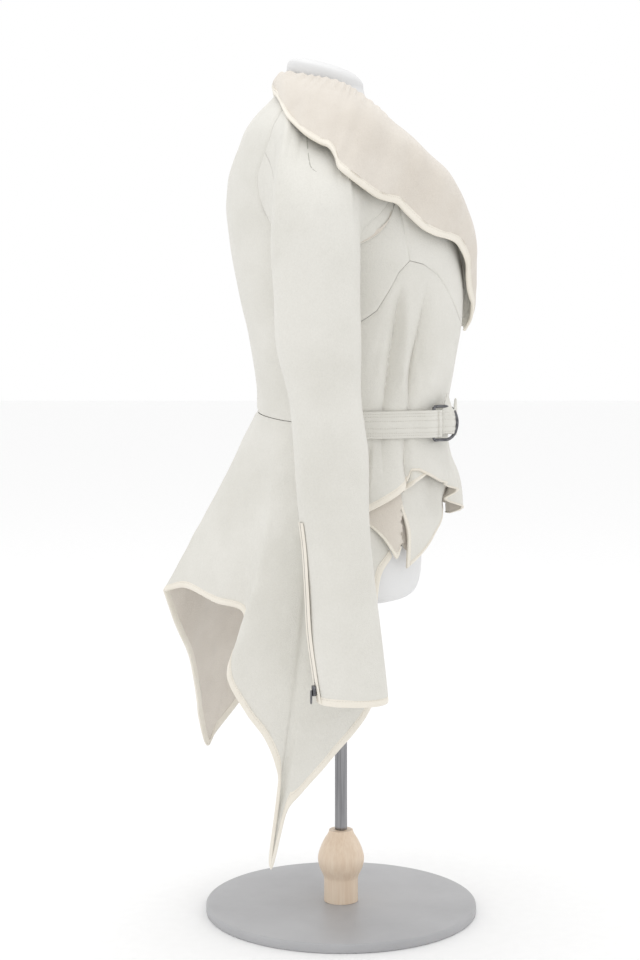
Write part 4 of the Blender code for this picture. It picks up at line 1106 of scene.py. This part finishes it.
def build_slider(word, side):
    """The slider's body and its pull tab, each a solid through rounded rings."""
    point, across, out = zip_frame(side, SLIDER_HEIGHT)
    for name, outline, distance, depth, replaced, body in (
        (f"slider_{word}", SLIDER_OUTLINE, SLIDER_OUT, SLIDER_DEPTH, f"zip_slider_{word}", BODY),
        (f"pull_{word}", TAB_OUTLINE, TAB_OUT, TAB_DEPTH, f"zip_pull_{word}", f"pull_tab_{word}"),
    ):
        rings = [[point + across * half * rounded(math.cos(a)) + UP * height
                  + out * (distance + depth * rounded(math.sin(a))) for a in turns(16)]
                 for height, half in outline]
        tube(name, rings, GUNMETAL, [replaced], body)


# Collar


def build_collar(word, side):
    last = len(COLLAR) - 1 if side == RIGHT else LEFT_STATIONS - 1
    draw = LEFT_DRAW if side == LEFT else 0 * LEFT_DRAW

    def face(station, v):
        point = collar_face(station, v)
        point[..., 0] = np.where(station <= 0, -SEAM / 2, point[..., 0])
        return sided(point + draw * (fade(station, 16, 24) * fade(v, 0, 0.2))[..., None], side)

    def gathers(station, v):
        """Gathers that fan out from the neck seam, deepest near the roll, and a soft swing of the edge."""
        row = along(COLLAR, station)
        size = np.linalg.norm(row[..., 5:8] - row[..., 2:5], axis=-1)
        gather = 1.3 * np.sin(station * 7.9 + 1.3 * np.sin(station * 1.7)) * bell(v, 0.26, 0.16)
        swing = 1.2 * np.sin(station * 3.1 + 0.8) * fade(v, 0.3, 0.6) * fade(size, 0, 60)
        return gather * fade(station, 13, 9) * fade(station, 0, 1.5) + swing

    u, t = np.meshgrid(np.linspace(0, last, 250), np.linspace(0, 1, 56), indexing="ij")
    v = t * collar_share(u)
    points = face(u, v)
    normals = facing(points, axis_of(points))
    normals = -normals if (normals[..., 0] * side).sum() > 0 else normals
    points = points + normals * (COLLAR_LIFT + gathers(u, v) + waves(points, "collar"))[..., None]
    obj = wall(f"skin_collar_{word}", points, normals, (SUEDE, LEATHER), [f"collar_{word}"])
    trim, line = band(f"band_collar_{word}", face, np.linspace(0, last, 320),
                      lambda u: collar_share(u) - 0.004, replaced=[f"binding_collar_{word}"],
                      centre=UP * 900, lift=COLLAR_LIFT)
    stitches(f"collar_{word}", [line])


# Tails


def build_tail(word, side, rows):
    last = len(rows) - 1

    def face(column, v):
        point = tail_face(rows, column, v)
        point[..., 0] = np.where(column <= 0, -SEAM / 2, point[..., 0])
        return sided(point, side)

    u, t = np.meshgrid(np.linspace(0, last, 190), spaced(300.0, 4.0), indexing="ij")
    points = face(u, t * tail_share(rows, u))
    normals = facing(points, axis_of(points))
    uneven = (waves(points, "tail") + waves(points, "tail_fine")) * fade(t, 0, 0.2)
    points = pinch(points + normals * uneven[..., None], normals, [FIRST_ROW])
    obj = wall(f"skin_tail_{word}", points, normals, (LEATHER, SUEDE), [f"tail_{word}"])
    trim, line = band(f"band_tail_{word}", face, np.linspace(0, last, 420),
                      lambda u: tail_share(rows, u) - 0.002, replaced=[f"binding_tail_{word}"],
                      centre=UP * 400)
    stitches(f"tail_{word}", [line])


# Belt


def strap(name, path, replaced, low=lambda share: BELT_LOW, high=lambda share: BELT_HIGH, puff=0.7):
    """A sewn strap standing on edge along a path seen from above, swelling between its stitch rows."""
    far = travelled(path)
    count = max(int(far[-1] / 1.8), 12)
    middle = along(path, np.interp(np.linspace(0, far[-1], count), far, np.arange(len(path))))[:, :2]
    forward = unit(np.gradient(middle, axis=0))
    across = np.stack([-forward[:, 1], forward[:, 0]], -1)
    levels, shares = np.linspace(0, 1, 36), np.linspace(0, 1, count)[:, None]
    z = mix(low(shares), high(shares), levels) + 0 * shares
    near = np.min(np.abs(z[..., None] - np.array(STITCH_ROWS)), axis=-1)
    swell = puff * (1 - bell(near, 0, 1.6))
    past = np.clip(np.abs(levels * 2 - 1) - 0.93, 0, 1)
    half = np.maximum(STRAP / 2 * np.sqrt(np.clip(1 - past ** 2 / 0.005, 0, 1)), 0.3)
    rings = []
    for sign in (1, -1):
        places = middle[:, None] + sign * across[:, None] * (half - 0.35 + swell * 0.6)[..., None]
        rings.append(np.concatenate([places, z[..., None]], -1)[:, ::sign])
    obj = tube(name, np.concatenate(rings, axis=1), LEATHER, replaced)
    lines = []
    for row in STITCH_ROWS:
        for sign in (1, -1):
            at = middle + sign * across * (STRAP / 2 - 0.25)
            level, flat = np.full((count, 1), row), np.zeros((count, 1))
            lines.append((np.concatenate([at, level], -1), np.concatenate([across * sign, flat], -1)))
    sewn = stitches(name, lines, pitch=3.0, length=2.2, half=0.26, material=BELT_THREAD)


def ring_frame():
    """The ring's bar, its direction along the belt, and the way its bow stands off."""
    bar = torso(RING_ANGLE, BELT_MIDDLE, 7.5)
    level = unit(torso(RING_ANGLE - 4, BELT_MIDDLE) - torso(RING_ANGLE + 4, BELT_MIDDLE))
    bow = unit(level + 0.42 * torso_normal(np.array(float(RING_ANGLE)), np.array(float(BELT_MIDDLE))))
    return bar, level, unit(bow * np.array([1, 1, 0]))


def build_ring():
    bar, level, bow = ring_frame()
    half, bow_start = RING_HEIGHT / 2, RING_WIDTH - RING_BOW
    outline = [(-RING_BACK, z) for z in np.linspace(half - 5, -half + 5, 16)]
    outline += [(0.5 - RING_BACK, -half + 2), (2.5 - RING_BACK, -half + 0.4)]
    outline += [(x, -half) for x in np.linspace(5 - RING_BACK, bow_start, 12)[:-1]]
    for a in np.linspace(-math.pi / 2, math.pi / 2, 33):
        outline.append((bow_start + RING_BOW * math.cos(a), half * math.sin(a)))
    outline += [(x, half) for x in np.linspace(bow_start, 5 - RING_BACK, 12)[1:]]
    outline += [(2.5 - RING_BACK, half - 0.4), (0.5 - RING_BACK, half - 2)]
    path = np.array([bar + (bow if ahead > 0 else level) * ahead + UP * up for ahead, up in outline])
    side = np.cross(bow, UP)
    inward = unit(np.cross(np.roll(path, -1, axis=0) - np.roll(path, 1, axis=0), side))
    rings = [path + (side * math.cos(a) + inward * math.sin(a)) * RING_ROD / 2 for a in turns(14)]
    tube("d_ring", np.stack(rings, axis=1), GUNMETAL, ["belt_ring"], closed_path=True)


def build_belt():
    bar, _, bow = ring_frame()
    out = unit(np.array([bow[1], -bow[0], 0.0]))
    radius = RING_ROD / 2 + 0.7 + STRAP / 2

    def round_bar(start, end, count):
        return [bar + radius * (bow * math.cos(a) + out * math.sin(a))
                for a in np.radians(np.linspace(start, end, count))]

    angles = np.linspace(BELT_END, BELT_FOLD, 44)
    rise = BELT_RISE * fade(angles, BELT_RISE_ANGLE, BELT_RISE_FULL)
    right = list(torso(angles, BELT_MIDDLE, BELT_REST + rise + STRAP / 2)) + round_bar(FOLD_START, 0, 12)
    strap("strap_right", np.array(right), ["belt_right"])
    loop = [torso(BELT_START + past, BELT_MIDDLE, distance) for past, distance in LOOP_TAIL]
    strap("strap_loop", np.array(loop + round_bar(LOOP_START, LOOP_END, 15)), ["belt_loop"], puff=0.4)

    def top(share):
        return BELT_HIGH + 20 * bell(share, 0.975, 0.013) + 14 * bell(share, 0.925, 0.011)

    def bottom(share):
        return BELT_LOW + 3 * fade(share, 0.88, 0.96)

    left = np.array([torso(angle, BELT_MIDDLE, distance) for angle, distance in LEFT_STRAP])
    strap("strap_left", left, ["belt_left"], bottom, top, puff=1.0)


# Form and stand


def lathe(name, profile, material, replaced, sides=96):
    rings = [[(r * math.cos(a), r * math.sin(a), z) for a in turns(sides)] for r, z in profile]
    tube(name, rings, material, replaced, sharp=50)


def build_form():
    angles = np.linspace(0, 360, 96, endpoint=False)
    top, back, front, _ = FORM[-1]
    centre = (back + front) / 2
    heights = np.concatenate([np.linspace(FORM[0][0], 427, 7), np.linspace(427, top, 110)[1:]])
    rings = [ring_point(FORM, angles, np.full(angles.shape, z)) for z in heights]
    neck = rings[-1]
    for place in np.linspace(0, len(NECK_TOP) - 1, 30)[1:]:
        z, size, slant = along(NECK_TOP, np.array(place))
        y = centre + (neck[:, 1] - centre) * size
        rings.append(np.stack([neck[:, 0] * size, y, z + (y - centre) * NECK_SLANT * slant], -1))
    tube("shell_dress_form", rings, SHELL, ["dress_form"])


def build_stand():
    flat = BASE_RADIUS - BASE_ROUND
    plate = [(AXIS_RADIUS, 0), (flat, 0)]
    for i in range(9):
        a = math.radians(-90 + 180 * i / 8)
        rise = BASE_ROUND if a < 0 else BASE_HEIGHT - BASE_ROUND
        plate.append((flat + BASE_ROUND * math.cos(a), rise + BASE_ROUND * math.sin(a)))
    plate += [(radius, BASE_HEIGHT) for radius in (120, 60, AXIS_RADIUS)]
    lathe("steel_base_plate", plate, PAINT, ["base_plate"], 128)
    profile = along(FOOT, np.linspace(0, len(FOOT) - 1, 90))
    profile[:, 0] = np.maximum(profile[:, 0], AXIS_RADIUS)
    profile[:, 1] = np.clip(profile[:, 1], FOOT[-1][1], FOOT[0][1])
    lathe("wood_stand_foot", profile, WOOD, ["stand_foot"])
    low, high = POLE_FOOT + SEAM, FORM[0][0] - SEAM
    pole = [(AXIS_RADIUS, low), (POLE_RADIUS - 0.6, low), (POLE_RADIUS, low + 0.8)]
    pole += [(POLE_RADIUS, z) for z in np.linspace(low + 4, high - 4, 12)]
    pole += [(POLE_RADIUS, high - 0.8), (POLE_RADIUS - 0.6, high), (AXIS_RADIUS, high)]
    lathe("steel_stand_pole", pole, BRUSHED, ["stand_pole"], 64)


# Studio


def build_floor():
    material, tree, shader = nodes_of("floor_paper", 0.9)
    paper = ramp(tree, noise(tree, 60, 3), (0.95, 0.95, 0.95), (0.965, 0.965, 0.965))
    tree.links.new(paper, shader.inputs["Base Color"])
    mesh = bpy.data.meshes.new("floor")
    corners = [(x * FLOOR_HALF, y * FLOOR_HALF, 0) for x, y in ((-1, -1), (1, -1), (1, 1), (-1, 1))]
    mesh.from_pydata(corners, [], [(0, 1, 2, 3)])
    mesh.materials.append(material)
    obj = bpy.data.objects.new("floor", mesh)
    bpy.context.scene.collection.objects.link(obj)


def build_lights():
    world = bpy.data.worlds.new("studio")
    world.use_nodes = True
    background = world.node_tree.nodes["Background"]
    background.inputs["Color"].default_value = (1.0, 1.0, 1.0, 1)
    background.inputs["Strength"].default_value = 1.0
    bpy.context.scene.world = world
    for name, (place, size, power) in LAMPS.items():
        light = bpy.data.lights.new(name, "AREA")
        light.energy = power
        light.size = size
        obj = bpy.data.objects.new(name, light)
        obj.location = place
        bpy.context.scene.collection.objects.link(obj)
        aim = np.array(LAMP_AIM) - np.array(place)
        yaw = math.atan2(aim[0], -aim[1])
        obj.rotation_euler = (math.acos(-aim[2] / float(np.linalg.norm(aim))), 0, yaw)
    bpy.context.scene.view_settings.view_transform = "Standard"


def build_camera():
    data = bpy.data.cameras.new("camera")
    data.sensor_fit = "VERTICAL"
    data.sensor_height = SENSOR
    data.lens = SENSOR * CAMERA_DISTANCE / SEEN_HEIGHT
    data.shift_y = -(PICTURE_ROWS / 2 - EYE_ROW) / PICTURE_ROWS
    camera = bpy.data.objects.new("camera", data)
    camera.location = CAMERA_PLACE
    camera.rotation_euler = (math.pi / 2, 0, -math.pi / 2)
    bpy.context.scene.collection.objects.link(camera)
    bpy.context.scene.camera = camera


def main():
    build_stand()
    build_form()
    build_back()
    for word, place, edge, hem in (("right", right_place, RIGHT_EDGE, RIGHT_HEM),
                                   ("left", left_place, LEFT_EDGE, LEFT_HEM)):
        build_front_upper(word, place, edge)
        build_front_side(word, place)
        build_front_lower(word, place, edge, hem)
    build_pleat_layer()
    build_flap()
    for word, side, tail in (("right", RIGHT, RIGHT_TAIL), ("left", LEFT, LEFT_TAIL)):
        build_sleeve(word, side)
        build_collar(word, side)
        build_tail(word, side, tail)
    build_ring()
    build_belt()
    build_floor()
    build_lights()
    build_camera()


main()
